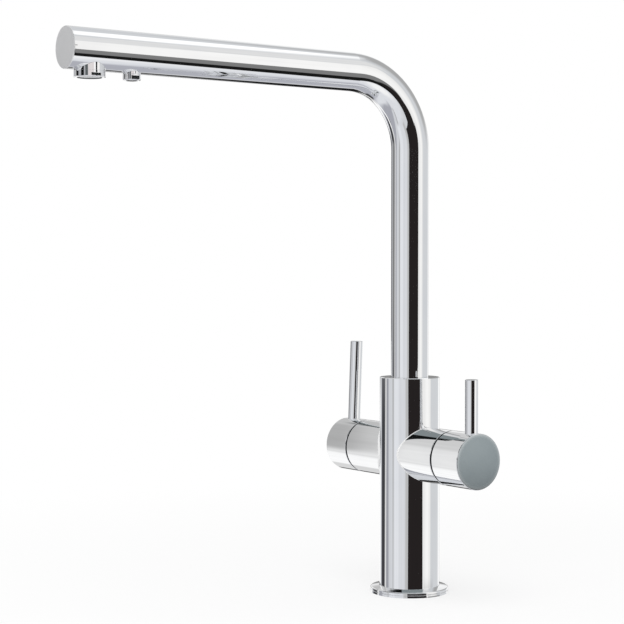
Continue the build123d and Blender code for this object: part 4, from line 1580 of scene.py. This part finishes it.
@dataclass
class Base(SubAssembly):
    """The flange that carries the column, and the screw in the column's back.

    Attributes:
        radius: Radius of the flange, in millimetres.
        height: Height of its edge.
        crown: Height where it meets the column.
        column: Radius of the column's seat.
        mouth: Radius of the opening underneath.
        seat: Height of the column's seat.
        gasket: Inner and outer radius of the gasket's groove.
        gasket_depth: Depth of that groove.
        edge_groove: Lower and upper height of the fine groove around the edge.
        edge_groove_depth: Depth of the fine groove.
        foot_rounding: Rounding of the edge on the worktop, and of the edge at the column.
        groove_rounding: Rounding of the fine groove's edges.
        rim_rounding: Rounding of the flange's upper rim.
        screw_height: Height of the screw's axis.
        screw_top: How far behind the column's axis its outer end lies.
        screw_length: Length of its thread.
        screw_tip: Radius and length of its pin.
    """

    radius: float = 26.0
    height: float = 3.6
    crown: float = 4.7
    column: float = 20.05
    mouth: float = 17.2
    seat: float = 1.6
    gasket: tuple[float, float] = (21.5, 24.5)
    gasket_depth: float = 1.2
    edge_groove: tuple[float, float] = (1.55, 2.05)
    edge_groove_depth: float = 0.4
    foot_rounding: float = 0.15
    groove_rounding: float = 0.12
    rim_rounding: float = 0.7
    screw_height: float = 132.1
    screw_top: float = 19.6
    screw_length: float = 3.4
    screw_tip: tuple[float, float] = (1.6, 4.9)

    def flange(self) -> None:
        """Turns the flange."""
        gasket_inner, gasket_outer = self.gasket
        groove_bottom, groove_top = self.edge_groove
        groove_radius = self.radius - self.edge_groove_depth
        corners = (
            Corner(self.mouth, 0.0),
            Corner(gasket_inner, 0.0),
            Corner(gasket_inner, self.gasket_depth),
            Corner(gasket_outer, self.gasket_depth),
            Corner(gasket_outer, 0.0),
            Corner(self.radius, 0.0, self.foot_rounding),
            Corner(self.radius, groove_bottom, self.groove_rounding),
            Corner(groove_radius, groove_bottom),
            Corner(groove_radius, groove_top),
            Corner(self.radius, groove_top, self.groove_rounding),
            Corner(self.radius, self.height, self.rim_rounding),
            Corner(self.column, self.crown, self.foot_rounding),
            Corner(self.column, self.seat),
            Corner(self.mouth, self.seat),
        )
        flange = mesh_object("base_flange_turned", turned(corners, upright(), FLANGE_STEPS))
        self.fit(flange, "base_flange", CHROME)

    def locking_screw(self) -> None:
        """Makes the screw that locks the spout."""
        height = Matrix.Translation((0.0, 0.0, self.screw_height))
        backwards = height @ Matrix.Rotation(-math.pi / 2, 4, "X")
        SocketScrew(
            self.wardrobe, self.body, "locking_screw", backwards, self.screw_top, self.screw_length,
            tip=self.screw_tip,
        ).build()

    def build(self) -> None:
        """Builds the flange and the screw."""
        self.flange()
        self.locking_screw()


# ---------------------------------------------------------------------------------------
# Dressing
# ---------------------------------------------------------------------------------------


@dataclass
class Wardrobe:
    """The finishes, each made once.

    Attributes:
        made: The materials made so far, by finish.
        slots: The material slot of each node of the frame.
    """

    made: dict[Finish, bpy.types.Material] = field(default_factory=dict)
    slots: dict[str, str] = field(
        default_factory=lambda: {row["node"]: row["material_slot"] for row in frame["record"]["subparts"]}
    )

    def material(self, finish: Finish) -> bpy.types.Material:
        """Gives the material of a finish, made when it is first asked for.

        Args:
            finish: The finish.

        Returns:
            Its material.
        """
        if finish not in self.made:
            self.made[finish] = finish.material()
        return self.made[finish]

    def dress_nodes(self) -> None:
        """Assigns a finish to every node of the frame."""
        for node, slot in self.slots.items():
            # Pieces seen in the seams get the near black brass that paints the seams' shade.
            finish = SEAM_SHADE_BRASS if node in SEEN_IN_SEAM else FINISH_OF_SLOT[slot]
            for place in frame["nodes"][node].material_slots:
                place.material = self.material(finish)
        LOG.info("dressed %d nodes", len(self.slots))


def main() -> None:
    """Builds the studio and the tap."""
    logging.basicConfig(level=logging.INFO, format="%(name)s: %(message)s")
    Studio().build()
    wardrobe = Wardrobe()
    wardrobe.dress_nodes()
    Base(wardrobe, "root").build()
    Barrel(wardrobe, "mixer_handle").build()
    Barrel(
        wardrobe, "filter_handle", water="filter", side=-1, seam=48.0, shaft_node="filter_spindle",
        shaft=4.5, lever_top=72.2, lean=2.3,
    ).build()
    SpoutEnd(wardrobe, "spout").build()
    Outlet(wardrobe, "spout", outline=MAIN_OUTLINE, insert_outline=MAIN_INSERT_OUTLINE).build()
    Outlet(
        wardrobe, "spout", node="filter_nozzle", insert_node="filter_insert", station=209.3,
        outline=FILTER_OUTLINE, flat_distance=4.7, flat_top=330.2, insert_outline=FILTER_INSERT_OUTLINE,
        cell=0.5, pitch=1.5, reach=1.6,
    ).build()


if __name__ == "__main__":
    main()
